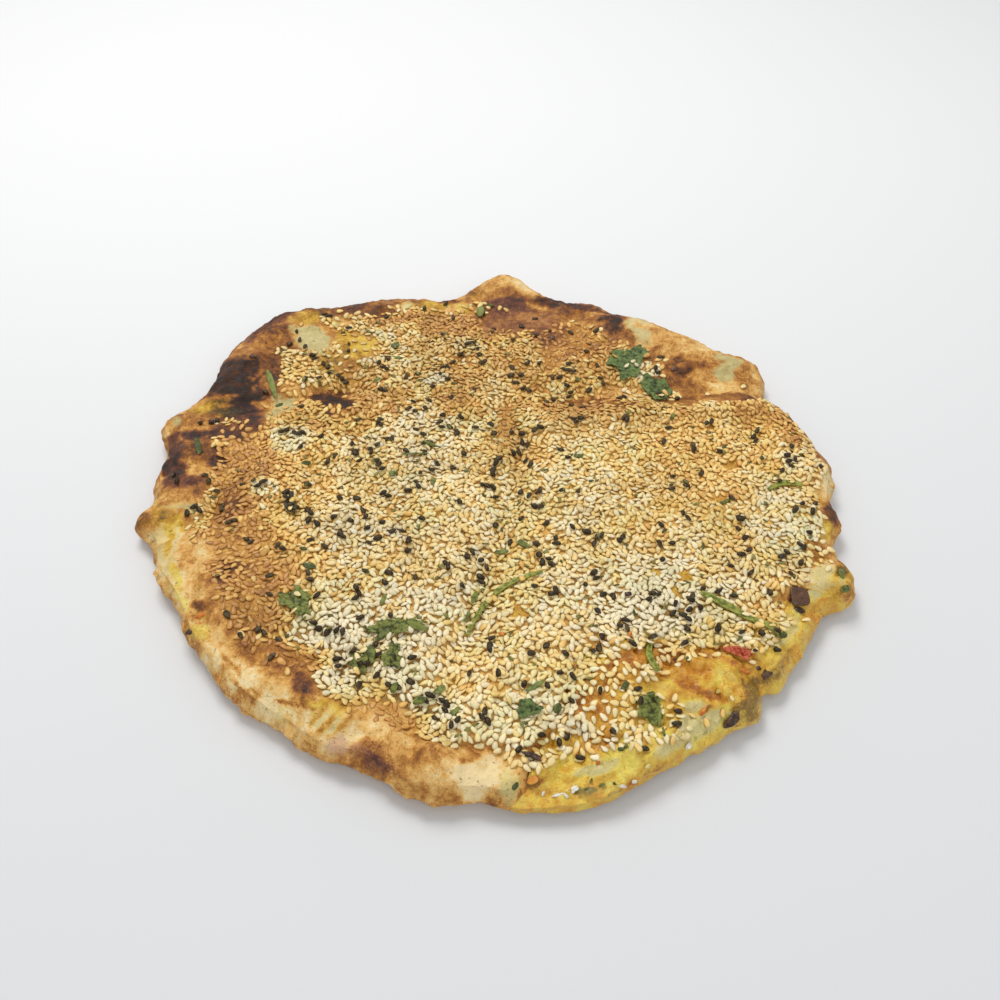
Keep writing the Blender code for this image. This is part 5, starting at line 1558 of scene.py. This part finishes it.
# %% Joining copies
def joined_piece(name, laid, shape, faces, uneven=0.0):
    """One mesh of many small things: each a copy of a unit shape, laid down with its own sizes."""
    laid = np.array(laid)
    px, py, pz, turn, slope_along, slope_across, half_length, half_width, half_thick, dim, tint = laid.T
    along = np.stack([np.cos(turn), np.sin(turn), slope_along], 1)
    along /= np.linalg.norm(along, axis=1, keepdims=True)
    across = np.stack([-np.sin(turn), np.cos(turn), slope_across], 1)
    up = np.cross(along, across)
    up /= np.linalg.norm(up, axis=1, keepdims=True)
    across = np.cross(up, along)
    size = np.stack([half_length, half_width, half_thick], 1)
    local = shape[None] * size[:, None]
    if uneven:
        chance = np.random.default_rng(len(laid))
        bends = chance.normal(0, 2.2, (len(laid), 4, 3))
        shifts = chance.uniform(0, 6.3, (len(laid), 4, 1))
        waves = np.sin(bends @ shape.T + shifts).sum(1) / 2
        local *= 1 + uneven * waves[:, :, None]
    spread = local @ np.stack([along, across, up], 1)
    spread += np.stack([px, py, pz], 1)[:, None]
    joined = (faces[None] + (np.arange(len(laid)) * len(shape))[:, None, None]).reshape(-1, 3)
    mesh = bpy.data.meshes.new(name)
    mesh.from_pydata(spread.reshape(-1, 3).tolist(), [], joined.tolist())
    piece = bpy.data.objects.new(name, mesh)
    bpy.context.collection.objects.link(piece)
    mesh.shade_smooth()
    put_share(piece, "tint", np.repeat(tint, len(shape)))
    # The painted shade of each seed is stored for its finish to read
    put_share(piece, "dim", np.repeat(dim, len(shape)))
    put_share(piece, "tip", np.tile(shape[:, 0], len(laid)))
    # The rim share is 1 round a seed's edge; the sesame finish paints shade there, as in the gaps between
    # seeds
    put_share(piece, "rim", np.tile(1 - np.abs(shape[:, 2]), len(laid)))
    print(name, len(laid), "laid", len(joined), "triangles")
    return piece


PALE_UNDER, GOLDEN_UNDER = 0.22, 0.42
pale = [seed for seed in seeds["sesame"] if seed[-1] < PALE_UNDER]
golden = [seed for seed in seeds["sesame"] if PALE_UNDER <= seed[-1] < GOLDEN_UNDER]
toasted = [seed for seed in seeds["sesame"] if seed[-1] >= GOLDEN_UNDER]
pale_sesame = joined_piece("pale_sesame", pale, *sesame_drop)
golden_sesame = joined_piece("golden_sesame", golden, *sesame_drop)
toasted_sesame = joined_piece("toasted_sesame", toasted, *sesame_drop)
nigella = joined_piece("nigella_seeds", seeds["nigella"], *nigella_drop, uneven=0.12)

# %% [markdown]
# ## Bits and crumbs
#
# Between the seeds lie crumbs of coriander, and on the rim and the torn side lie small bits of onion, char,
# chilli, flour and herb. Each is a ball squeezed to its own half sizes and made uneven by a few waves, so no
# two are alike.

# %% Bits
# As drawn, in millimetres: x, y, half length, half width, half thickness, turn, how much of it is sunk
ONION = (
    (-37, 103, 2.4, 1.6, 0.4, 60, 0.5), (-67, 89, 1.8, 1, 0.4, -60, 0.3),
    (57.6, -113, 1.1, 0.7, 0.4, 50, 0.5), (33.6, -122.6, 0.9, 0.6, 0.4, 20, 0.5),
    (47.4, -124.4, 0.9, 0.6, 0.4, 30, 0.6), (71, -98.6, 0.8, 0.6, 0.4, 0, 0.5),
)
DARK_BITS = (
    (76, -108, 2, 1.5, 0.8, 60, 0.5), (74.6, -111, 2.2, 1.2, 0.7, 40, 0.5),
    (104.3, -62.2, 3, 3.4, 0.9, 10, 0.8), (103.6, -67.4, 1.8, 1.4, 0.6, 20, 0.4),
    (-109.5, 26, 1.2, 0.9, 0.6, 0, 0.2), (-96.5, -76.5, 1.1, 0.9, 0.7, 0, 0.5),
    (88, -92.5, 1.8, 1.1, 0.7, 30, 0.3), (77, 59, 1.4, 0.9, 0.5, 20, 0.4), (-98, 66, 1.2, 1.2, 0.6, 0, 0.3),
    (86, -90.5, 0.9, 0.7, 0.5, 0, 0.2), (47, -60, 1.2, 0.8, 0.5, 0, 0.2), (20, 82, 1.4, 0.9, 0.6, 20, 0.2),
    (60, -87, 0.5, 0.4, 0.3, 0, 0.2), (14, -121, 3, 0.8, 0.4, -20, 0.2), (85, -84, 0.7, 0.5, 0.4, 0, 0.3),
    (27, 80, 1.6, 1.2, 0.5, 60, 0.3),
)
RED_BITS = (
    (81.5, -91.5, 1.6, 0.7, 0.5, -10, 0.7), (66, -105.5, 1.7, 0.6, 0.4, 55, 1.05),
    (14, -130, 1.6, 1, 0.5, 10, 0.4), (33, -123, 0.8, 0.5, 0.4, 40, 0.6),
    (-93, -68.8, 2.6, 0.8, 0.4, 4, 1.1), (46, -78, 1, 0.6, 0.4, 60, 0.2),
    (5, -76.5, 1, 0.7, 0.4, 0, 0.2),
)
WHITE_BITS = (
    (26, -133.4, 1.3, 0.8, 0.3, 30, 0.6), (21.5, -134.4, 1.6, 0.5, 0.3, 5, 0.6),
    (60.5, -118.4, 1.2, 0.7, 0.4, 50, 0.2), (40, -131.4, 1, 0.5, 0.3, 0, 0.5),
    (-107, 25, 0.7, 0.5, 0.3, 40, 0.2), (23.6, -135, 0.9, 0.5, 0.3, -30, 0.6),
    (43.5, -130.2, 0.8, 0.5, 0.3, 20, 0.5), (17, -134.6, 0.8, 0.4, 0.2, 60, 0.5),
)
GREEN_BITS = (
    (-89, 50.5, 6.8, 1.5, 0.35, -72, 0.1), (-110, 11.5, 4.8, 1.3, 0.35, -72, 0.1),
    (-85, 37, 1.6, 0.8, 0.3, 20, 0.2), (-40, 74, 1.6, 1.2, 0.3, 10, 0.1), (-22, 13, 3, 0.7, 0.3, -10, 0.1),
    (-35, -3, 1.8, 1.1, 0.3, 30, 0.1), (-20, -7, 1.6, 1, 0.3, 80, 0.1), (-34, -62, 2.2, 0.7, 0.3, 75, 0.1),
    (-4, 99, 3.2, 1.7, 0.5, 80, 0.1), (15, -96, 3, 1, 0.4, 20, 0.1), (22, -104, 2, 1.3, 0.4, 60, 0.1),
    (43, -96, 2.2, 1, 0.4, 60, 0.1), (40, -118, 1.2, 0.5, 0.3, 0, 0.1),
    (41.4, -117, 0.7, 0.5, 0.3, 60, 0.1), (52.2, -107.5, 0.5, 2.4, 0.3, -8, 0.3),
    (53, -111.6, 0.4, 1.8, 0.3, 6, 0.4), (50.4, -98.6, 1.4, 0.9, 0.4, 0, 0.1),
    (48.4, -101, 1, 1.2, 0.4, 30, 0.1), (-36, -84, 2.6, 1.4, 0.4, 100, 0.1),
    (-33, -77, 3, 1.1, 0.4, 40, 0.1), (-22, -73, 3.2, 1.1, 0.4, -8, 0.1),
    (-14, -98, 2.2, 1.2, 0.4, 40, 0.1), (-20, -103, 2, 1.2, 0.4, 10, 0.1),
    (-28, -97, 1.8, 1.1, 0.4, 70, 0.1), (-9, -105, 1.8, 1.1, 0.4, 30, 0.1),
    (-6, -70, 2.4, 0.8, 0.3, 80, 0.1), (-4, -62, 2.4, 0.8, 0.3, 70, 0.1), (5, -42, 2.6, 1, 0.3, -20, 0.1),
    (13, -38, 2.8, 0.9, 0.3, -35, 0.1), (85, -18, 2.4, 0.6, 0.3, 30, 0.1), (34, 6, 1.8, 0.8, 0.3, 0, 0.1),
    (-68, 2, 1.8, 1, 0.3, 20, 0.1), (-60, -48, 2, 1.2, 0.3, 0, 0.1), (72, 28, 1.6, 0.9, 0.3, 60, 0.1),
    (-38, 66, 1.6, 0.9, 0.3, 30, 0.1), (34, -131, 1, 0.4, 0.3, 20, 0.3),
    (31, -129.6, 0.7, 0.4, 0.3, 70, 0.3), (95, -79, 1.8, 1.2, 0.4, 20, 0.1),
    (-46, 52, 1.5, 0.8, 0.3, 20, 0.1), (0, 104, 1.8, 1.2, 0.4, 60, 0.1), (-28, 6, 5, 0.5, 0.3, 4, 0.1),
    (121, -51.5, 1.3, 2.4, 0.5, 0, 0.6), (120.4, -58.4, 1.9, 1.2, 0.5, 30, 0.6),
    (29.5, -132.6, 0.8, 0.4, 0.3, 10, 0.5), (37.6, -130.6, 0.6, 0.4, 0.3, -20, 0.5),
    (9, -131, 1.3, 0.7, 0.3, 50, 0.6),
)
bit_count = sum(len(table) for table in (ONION, DARK_BITS, RED_BITS, WHITE_BITS, GREEN_BITS))
print("bits", bit_count)


# %% Laying bits and crumbs
def ball(subdivisions):
    """The vertices and triangles of a ball of radius 1."""
    bpy.ops.mesh.primitive_ico_sphere_add(subdivisions=subdivisions, radius=1)
    made = bpy.context.object
    shape, faces = places(made), np.array([face.vertices[:] for face in made.data.polygons])
    bpy.data.objects.remove(made)
    return shape, faces


def lay_bits(table):
    """Lays drawn things on the map, one after another."""
    laid = []
    for x, y, half_length, half_width, half_thick, turn, sunk in table:
        px, py = true_place(x, y)[:2]
        half = (half_length * MM, half_width * MM, half_thick * MM)
        height, slope_along, slope_across = lay_seed(px, py, math.radians(turn), *half, sunk + 0.3)
        laid.append((px, py, height, math.radians(turn), slope_along, slope_across, *half, 0, draw.random()))
    return laid


CRUMBS = 210
crumbs_laid = []
while len(crumbs_laid) < CRUMBS:
    px, py, row, column = throw()
    if draw.random() > 0.3 + 12 * map_nigella[row, column] or map_thick[row, column] < 0.5:
        continue
    turn = draw.uniform(0, 2 * math.pi)
    half = (draw.uniform(0.5, 1.5) * MM, draw.uniform(0.35, 0.8) * MM, 0.2 * MM)
    height, slope_along, slope_across = lay_seed(px, py, turn, *half, 0.2)
    slopes = (slope_along + draw.gauss(0, 0.25), slope_across)
    crumbs_laid.append((px, py, height, turn, *slopes, *half, 0, draw.random()))

# Each table with how uneven its things are
BIT_TABLES = {
    "onion_slices": (ONION, 0.20),
    "dark_bits": (DARK_BITS, 0.22),
    "red_bits": (RED_BITS, 0.12),
    "white_bits": (WHITE_BITS, 0.28),
    "green_bits": (GREEN_BITS, 0.18),
}
smooth_ball, coarse_ball = ball(4), ball(2)
bits = {}
for name, (table, uneven) in BIT_TABLES.items():
    bits[name] = joined_piece(name, lay_bits(table), *smooth_ball, uneven)
bits["herb_crumbs"] = joined_piece("herb_crumbs", crumbs_laid, *coarse_ball, 0.18)

# %% [markdown]
# ## Writing materials
#
# A shader is arithmetic on textures, so it is written as arithmetic. The small class below holds one output
# of a node, and an expression such as 1 - mask adds the Math node that it needs. Any other node comes from
# one method.


# %% A socket that can be reckoned with
class Socket:
    """One output of a shader node."""

    def __init__(self, tree, output):
        self.tree = tree
        self.output = output

    def node(self, kind, settings=None, out=0, **inputs):
        """Adds a node of any kind: its settings first, then its sockets by name or number."""
        added = self.tree.nodes.new("ShaderNode" + kind)
        for name, value in (settings or {}).items():
            if name == "stops":
                ramp = added.color_ramp
                while len(ramp.elements) < len(value):
                    ramp.elements.new(0.5)
                for element, (at, colour) in zip(ramp.elements, value):
                    element.position = at
                    element.color = (*colour, 1)
            else:
                setattr(added, name, value)
        for name, value in inputs.items():
            socket = added.inputs[int(name[1:]) if name[1:].isdigit() else name.replace("_", " ")]
            if isinstance(value, Socket):
                self.tree.links.new(value.output, socket)
            else:
                socket.default_value = value
        return Socket(self.tree, added.outputs[out])

    def maths(self, operation, a, b=0.0):
        return self.node("Math", {"operation": operation}, s0=a, s1=b)

    def __add__(self, other):
        return self.maths("ADD", self, other)

    def __sub__(self, other):
        return self.maths("SUBTRACT", self, other)

    def __mul__(self, other):
        return self.maths("MULTIPLY", self, other)

    def __rsub__(self, other):
        return self.maths("SUBTRACT", other, self)

    __radd__ = __add__
    __rmul__ = __mul__

    def between(self, low, high):
        """0 where this is under low, 1 where it is over high, and smooth between."""
        return self.node("MapRange", {"interpolation_type": "SMOOTHSTEP"}, Value=self, s1=low, s2=high)

    def ridge(self, width):
        """1 along the lines where this is a half, 0 away from them."""
        return 1 - self.maths("ABSOLUTE", self - 0.5).between(0.0, width)

    def ramp(self, *stops):
        """Colours along this value."""
        return self.node("ValToRGB", {"stops": stops}, Fac=self)

    def mix(self, mask, other, blend="MIX"):
        """This colour, turned to another where the mask is 1."""
        settings = {"data_type": "RGBA", "blend_type": blend}
        return self.node("Mix", settings, out=2, s0=mask, s6=self, s7=other)

    def tinted(self, mask, other):
        """This colour, multiplied by another where the mask is 1."""
        return self.mix(mask, other, "MULTIPLY")


print("socket class ready")


# %% A finish
def colour(red, green, blue):
    return (red, green, blue, 1)


class Finish:
    """A material with one Principled shader. Constants are set on the shader's own sockets."""

    def __init__(self, name, **constants):
        self.material = bpy.data.materials.new(name)
        self.material.use_nodes = True
        self.tree = self.material.node_tree
        self.shader = self.tree.nodes["Principled BSDF"]
        for socket, value in constants.items():
            self.shader.inputs[socket.replace("_", " ")].default_value = value
        maker = Socket(self.tree, None)
        self.place = maker.node("TexCoord", out=3)
        self.maker = maker

    def share(self, name):
        """A share stored on the vertices."""
        return self.maker.node("Attribute", {"attribute_name": name}, out=2)

    def noise(self, scale, detail=3.0, rough=0.55):
        """Noise on the piece's own place, lumps of one part in scale of a metre."""
        return self.maker.node("TexNoise", Vector=self.place, Scale=scale, Detail=detail, Roughness=rough)

    def bump(self, height, distance, strength=1.0):
        """Feeds a height to the shader's normal."""
        normal = self.maker.node("Bump", Height=height, Distance=distance, Strength=strength)
        self.tree.links.new(normal.output, self.shader.inputs["Normal"])

    def set(self, socket, value):
        self.tree.links.new(value.output, self.shader.inputs[socket])

    def on(self, piece):
        """Gives the material to a piece."""
        piece.data.materials.clear()
        piece.data.materials.append(self.material)
        print(piece.name, "has", self.material.name, "of", len(self.tree.nodes), "nodes")


print("finish class ready")

# %% [markdown]
# ## The crust's finish
#
# The stored toast share runs through a ramp from cream over gold and red-brown to char. Noise of three sizes
# is added to it first, so that the ramp's steps break into the fine mottling of a real crust. Turmeric,
# flour and the purple cast are laid over it, then the glazed dough between the seeds, darkened with painted
# shade in the grooves and creases, and flecks of spice. The bump adds pits and shallow cracks.

# %% Baked dough
TOAST_STOPS = (
    (0.00, (0.87, 0.68, 0.36)),
    (0.16, (0.80, 0.53, 0.200)),
    (0.32, (0.69, 0.370, 0.095)),
    (0.46, (0.475, 0.205, 0.040)),
    (0.60, (0.31, 0.115, 0.022)),
    (0.74, (0.165, 0.056, 0.014)),
    (0.87, (0.065, 0.025, 0.011)),
    (1.00, (0.030, 0.017, 0.012)),
)
crust = Finish("baked_dough", Specular_IOR_Level=0.28)
wide, middle = crust.noise(120, 4.0, 0.6), crust.noise(430, 4.0, 0.65)
fine, specks = crust.noise(1500, 3.0, 0.6), crust.noise(820, 2.0)
lines = crust.noise(290, 2.0).ridge(0.030) * (1 - crust.share("sown").between(0.2, 0.8))
toast = crust.share("toast") + (wide - 0.5) * 0.80 + (middle - 0.5) * 0.80 + (fine - 0.5) * 0.28
toast = toast - 0.04 + lines * (crust.noise(90) - 0.38) * 0.6
skin = toast.ramp(*TOAST_STOPS)
golden = (toast + (crust.noise(260, 4.0, 0.6) - 0.5) * 0.5).ramp(
    (0.05, (0.76, 0.60, 0.14)),
    (0.25, (0.70, 0.45, 0.06)),
    (0.45, (0.54, 0.28, 0.025)),
    (0.70, (0.24, 0.12, 0.015)),
    (0.95, (0.05, 0.032, 0.010)),
)
skin = skin.mix((crust.share("yolk") + (middle - 0.5) * 0.8).between(0.2, 0.85), golden)
floury = (middle + (fine - 0.5) * 0.2 - (toast - 0.3) * 0.4).ramp(
    (0.30, (0.40, 0.33, 0.12)), (0.50, (0.54, 0.45, 0.19)), (0.70, (0.68, 0.58, 0.30))
)
skin = skin.mix((crust.share("ash") + (wide - 0.5) * 0.9).between(0.15, 0.8), floury)
bruised = toast.ramp(
    (0.20, (0.60, 0.36, 0.22)),
    (0.50, (0.36, 0.16, 0.085)),
    (0.75, (0.17, 0.058, 0.036)),
    (1.00, (0.035, 0.020, 0.018)),
)
skin = skin.mix(crust.share("plum").between(0.05, 0.95) * 0.8, bruised)
# Between the seeds: the dark share turns the dough browner and adds painted shade in the grooves and creases
between_seeds_and_shade = (crust.share("dark") + (middle - 0.5) * 2.0).ramp(
    (0.00, (0.78, 0.47, 0.115)), (0.40, (0.60, 0.33, 0.070)), (0.95, (0.27, 0.16, 0.040))
)
glazed = (wide + (fine - 0.5) * 0.8).ramp((0.36, (0.74, 0.42, 0.08)), (0.62, (0.60, 0.24, 0.025)))
between_seeds_and_shade = between_seeds_and_shade.mix((crust.share("orange") + (middle - 0.5) * 0.8).between(0.45, 0.95), glazed)
skin = skin.mix(crust.share("sown").between(0.25, 0.85) * (1 - toast.between(0.5, 0.7)) * 0.8, between_seeds_and_shade)
skin = skin.mix(specks.between(0.66, 0.72) * 0.5, colour(0.14, 0.05, 0.015))
crust.set("Base Color", skin)
crust.set("Roughness", 0.62 - (middle - 0.5) * 1.0 - crust.share("yolk") * 0.2)
crust.bump(middle * 0.75 + fine * 0.25 - specks.between(0.62, 0.72) * 0.2 - lines * 0.04, 0.0012, 0.8)
crust.on(dough)

# %% [markdown]
# ## The potato's finish
#
# Mashed potato with turmeric and oil is moist and glossy, so it is smoother than the crust and has a thin
# clear coat. Its colour runs from bright yellow to orange, with browned parts where the oven's heat touched
# it, and pale onion.

# %% Spiced potato
filling = Finish("spiced_potato", Specular_IOR_Level=0.35, Coat_Weight=0.22, Coat_Roughness=0.16)
wide, middle, fine = filling.noise(170, 4.0, 0.6), filling.noise(560, 4.0, 0.65), filling.noise(1700, 3.0)
lines = filling.noise(380, 2.0).ridge(0.028)
warm = filling.share("orange") + (wide - 0.5) * 1.3 + (middle - 0.5) * 0.9
warm = warm + lines * (filling.noise(120) - 0.38) * 1.6
mash = warm.ramp(
    (0.00, (0.83, 0.66, 0.11)),
    (0.30, (0.78, 0.52, 0.065)),
    (0.60, (0.68, 0.34, 0.03)),
    (0.85, (0.58, 0.22, 0.014)),
    (1.00, (0.38, 0.12, 0.010)),
)
browned = (filling.share("brown") + (middle - 0.5) * 1.2).between(0.25, 0.95) * 0.9
mash = mash.mix(browned, colour(0.20, 0.10, 0.012))
mash = mash.mix((filling.share("pale") + (wide - 0.5) * 0.7).between(0.3, 0.9), colour(0.66, 0.56, 0.24))
mash = mash.mix((filling.share("green") + (middle - 0.5) * 0.9).between(0.3, 0.95), colour(0.30, 0.29, 0.08))
mash = mash.mix(filling.noise(900, 2.0).between(0.66, 0.72) * 0.4, colour(0.14, 0.06, 0.012))
mash = mash.mix(fine.between(0.57, 0.70) * 0.30, colour(0.80, 0.62, 0.24))
filling.set("Base Color", mash)
filling.set("Roughness", 0.36 + (middle - 0.5) * 0.9)
filling.bump(middle * 0.7 + fine * 0.3 - lines * 0.03, 0.0013, 0.9)
filling.on(potato)

# %% [markdown]
# ## The finish of the seeds
#
# A sesame seed is cream, darker towards its tip, and browner the more it was toasted. The tint stored with
# each seed sets that. Painted shade greys the seeds in the creases, most of all round their rims, and every
# seed's rim is tinted a little browner as painted shade in the gaps between seeds. Nigella is a dull
# brown-black.

# %% Seeds
for piece in (pale_sesame, golden_sesame, toasted_sesame):
    sesame = Finish(piece.name, Specular_IOR_Level=0.45)
    tint = sesame.share("tint") + sesame.share("tip") * 0.05 + (sesame.noise(700) - 0.5) * 0.25
    hull = tint.ramp(
        (0.00, (0.90, 0.80, 0.54)),
        (0.10, (0.94, 0.80, 0.48)),
        (0.20, (0.935, 0.755, 0.375)),
        (0.34, (0.91, 0.635, 0.215)),
        (0.48, (0.82, 0.48, 0.130)),
        (0.66, (0.64, 0.31, 0.080)),
        (1.00, (0.32, 0.125, 0.032)),
    )
    # Painted shade: the painted shade share greys the whole seed and tints its rim browner, as shade in the
    # gaps between seeds; a little everywhere, most in the creases
    painted_shade_mask = sesame.share("dim").between(-0.2, 1.2)
    side = sesame.share("rim").between(0.55, 1.0) * (0.05 + painted_shade_mask * 0.8)
    hull = hull.tinted(side, colour(0.80, 0.58, 0.34)).tinted(painted_shade_mask, colour(0.64, 0.63, 0.64))
    sesame.set("Base Color", hull.tinted(sesame.noise(60).between(0.48, 0.62), colour(0.95, 0.97, 0.86)))
    sesame.set("Roughness", 0.45 + (sesame.noise(1200) - 0.5) * 0.4)
    sesame.bump(sesame.noise(1600, 1.0), 0.00012, 0.5)
    sesame.on(piece)

black_seed = Finish("nigella_seeds", Specular_IOR_Level=0.25)
dust = (black_seed.noise(900) + (black_seed.share("tint") - 0.3) * 0.15).between(0.42, 0.75)
black_seed.set("Base Color", dust.ramp((0.0, (0.032, 0.020, 0.008)), (1.0, (0.130, 0.092, 0.044))))
black_seed.set("Roughness", 0.50 + (black_seed.noise(900) - 0.5) * 0.5)
black_seed.bump(black_seed.noise(1500, 1.0), 0.0003, 0.8)
black_seed.on(nigella)

# %% [markdown]
# ## Herbs, onion and pepper
#
# Coriander darkens in the oven but keeps some fresh green where it lies flat. The onion flake charred, and
# the pepper stays red and shiny.


# %% Herbs
def herb_finish(name, dark, light, rough):
    """A leaf's finish: two greens mixed by noise, with crinkles."""
    made = Finish(name, Specular_IOR_Level=0.3)
    mottle = (made.noise(700) + made.share("vein") * 0.15).between(0.38, 0.68)
    made.set("Base Color", mottle.ramp((0.0, dark), (1.0, light)))
    made.set("Roughness", rough + (made.noise(900) - 0.5) * 0.2)
    made.bump(made.noise(1100), 0.0005, 0.8)
    return made


FRESH = ("fresh_coriander_leaf_1", "fresh_coriander_leaf_2", "fresh_coriander_leaf_8")
fresh_green = herb_finish("fresh_coriander", (0.030, 0.050, 0.012), (0.155, 0.215, 0.060), 0.5)
dull_green = herb_finish("baked_coriander", (0.032, 0.038, 0.009), (0.225, 0.25, 0.055), 0.55)
stem_green = herb_finish("coriander_stem", (0.10, 0.13, 0.015), (0.33, 0.34, 0.06), 0.45)
charred = herb_finish("charred_onion", (0.018, 0.014, 0.008), (0.085, 0.068, 0.040), 0.5)
red = herb_finish("red_pepper", (0.42, 0.04, 0.02), (0.62, 0.17, 0.08), 0.25)
for piece in herbs:
    if "strip" in piece.name:
        stem_green.on(piece)
    elif "onion" in piece.name:
        charred.on(piece)
    elif "pepper" in piece.name:
        red.on(piece)
    elif piece.name in FRESH:
        fresh_green.on(piece)
    else:
        dull_green.on(piece)


# %% Bits' finishes
def bit_finish(name, dark, light, rough):
    """A finish for small things: two colours mixed by noise and by each thing's own tint."""
    made = Finish(name, Specular_IOR_Level=0.35)
    mottle = (made.noise(500, 4.0, 0.6) + (made.share("tint") - 0.5) * 0.25).between(0.35, 0.65)
    made.set("Base Color", mottle.ramp((0.0, dark), (1.0, light)))
    made.set("Roughness", rough + (made.noise(900) - 0.5) * 0.4)
    made.bump(made.noise(900, 3.0), 0.0006, 0.6)
    return made


# Dark colour, light colour, roughness
BIT_LOOKS = {
    "onion_slices": ((0.56, 0.45, 0.12), (0.72, 0.60, 0.24), 0.30),
    "dark_bits": ((0.032, 0.018, 0.010), (0.125, 0.058, 0.030), 0.30),
    "red_bits": ((0.52, 0.11, 0.015), (0.72, 0.32, 0.05), 0.40),
    "white_bits": ((0.62, 0.57, 0.45), (0.82, 0.79, 0.68), 0.6),
    "green_bits": ((0.055, 0.065, 0.012), (0.21, 0.24, 0.05), 0.5),
    "herb_crumbs": ((0.060, 0.060, 0.014), (0.25, 0.24, 0.06), 0.5),
}
for name, look in BIT_LOOKS.items():
    bit_finish(name, *look).on(bits[name])

# %% [markdown]
# ## What each piece stands for
#
# Every piece rides on the bread's one body. A piece that stands for a node hides that node.

# %% Riding and replacing
SHARP = 50  # degrees between two faces from which their edge stays sharp

for piece in (dough, potato):
    piece.data.shade_smooth()
    make_active(piece)
    bpy.ops.object.shade_smooth_by_angle(angle=math.radians(SHARP))
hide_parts("crust")
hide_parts("filling")
for piece in herbs:
    node = piece.name.replace("fresh_", "")
    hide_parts(node)
loose = (pale_sesame, golden_sesame, toasted_sesame, nigella, *bits.values())
for piece in (dough, potato, *loose, *herbs):
    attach(piece, "root")
print("pieces", 2 + len(loose) + len(herbs))

# %% [markdown]
# ## The floor and the light
#
# The bread lies on a pale floor that is painted darker towards the front, a painted shade, under a large
# soft light from above and behind, with a weaker one from the front, so the near rim is lit and its shadow
# is soft.

# %% Floor
bpy.ops.mesh.primitive_grid_add(x_subdivisions=8, y_subdivisions=8, size=6)
floor = bpy.context.object
floor.name = "floor"
painted_shade_floor = Finish("floor", Specular_IOR_Level=0.2)
# Painted shade: the floor's colour darkens from the back towards the front
far = painted_shade_floor.place.node("SeparateXYZ", out=1, Vector=painted_shade_floor.place).between(-0.35, 0.35)
painted_shade_floor.set("Base Color", far.ramp((0.0, (0.675, 0.69, 0.705)), (1.0, (0.81, 0.815, 0.82))))
painted_shade_floor.shader.inputs["Roughness"].default_value = 0.7
painted_shade_floor.on(floor)

# %% Light
world = bpy.data.worlds.new("studio")
world.use_nodes = True
world.node_tree.nodes["Background"].inputs["Color"].default_value = (0.97, 0.985, 1.0, 1)
world.node_tree.nodes["Background"].inputs["Strength"].default_value = 0.57
bpy.context.scene.world = world


def soft_light(name, place, size, power, tint):
    """A square light that looks at the bread."""
    data = bpy.data.lights.new(name, "AREA")
    data.size = size
    data.energy = power
    data.color = tint
    lamp = bpy.data.objects.new(name, data)
    lamp.location = place
    away = np.array(place) / np.linalg.norm(place)
    lamp.rotation_euler = (math.acos(away[2]), 0, math.atan2(away[0], -away[1]))
    bpy.context.collection.objects.link(lamp)
    return lamp


key = soft_light("key", (-0.25, 0.50, 1.00), 0.50, 7.2, (1.0, 0.985, 0.955))
front = soft_light("front", (0.35, -0.9, 0.9), 0.7, 3.0, (1.0, 0.99, 0.97))
bpy.context.scene.view_settings.view_transform = "Standard"
print("key at", tuple(key.location), "front at", tuple(front.location))

# %% [markdown]
# ## The last step
#
# The view layer is updated once more, so every piece stands where it was put.

# %% Finish
bpy.context.view_layer.update()
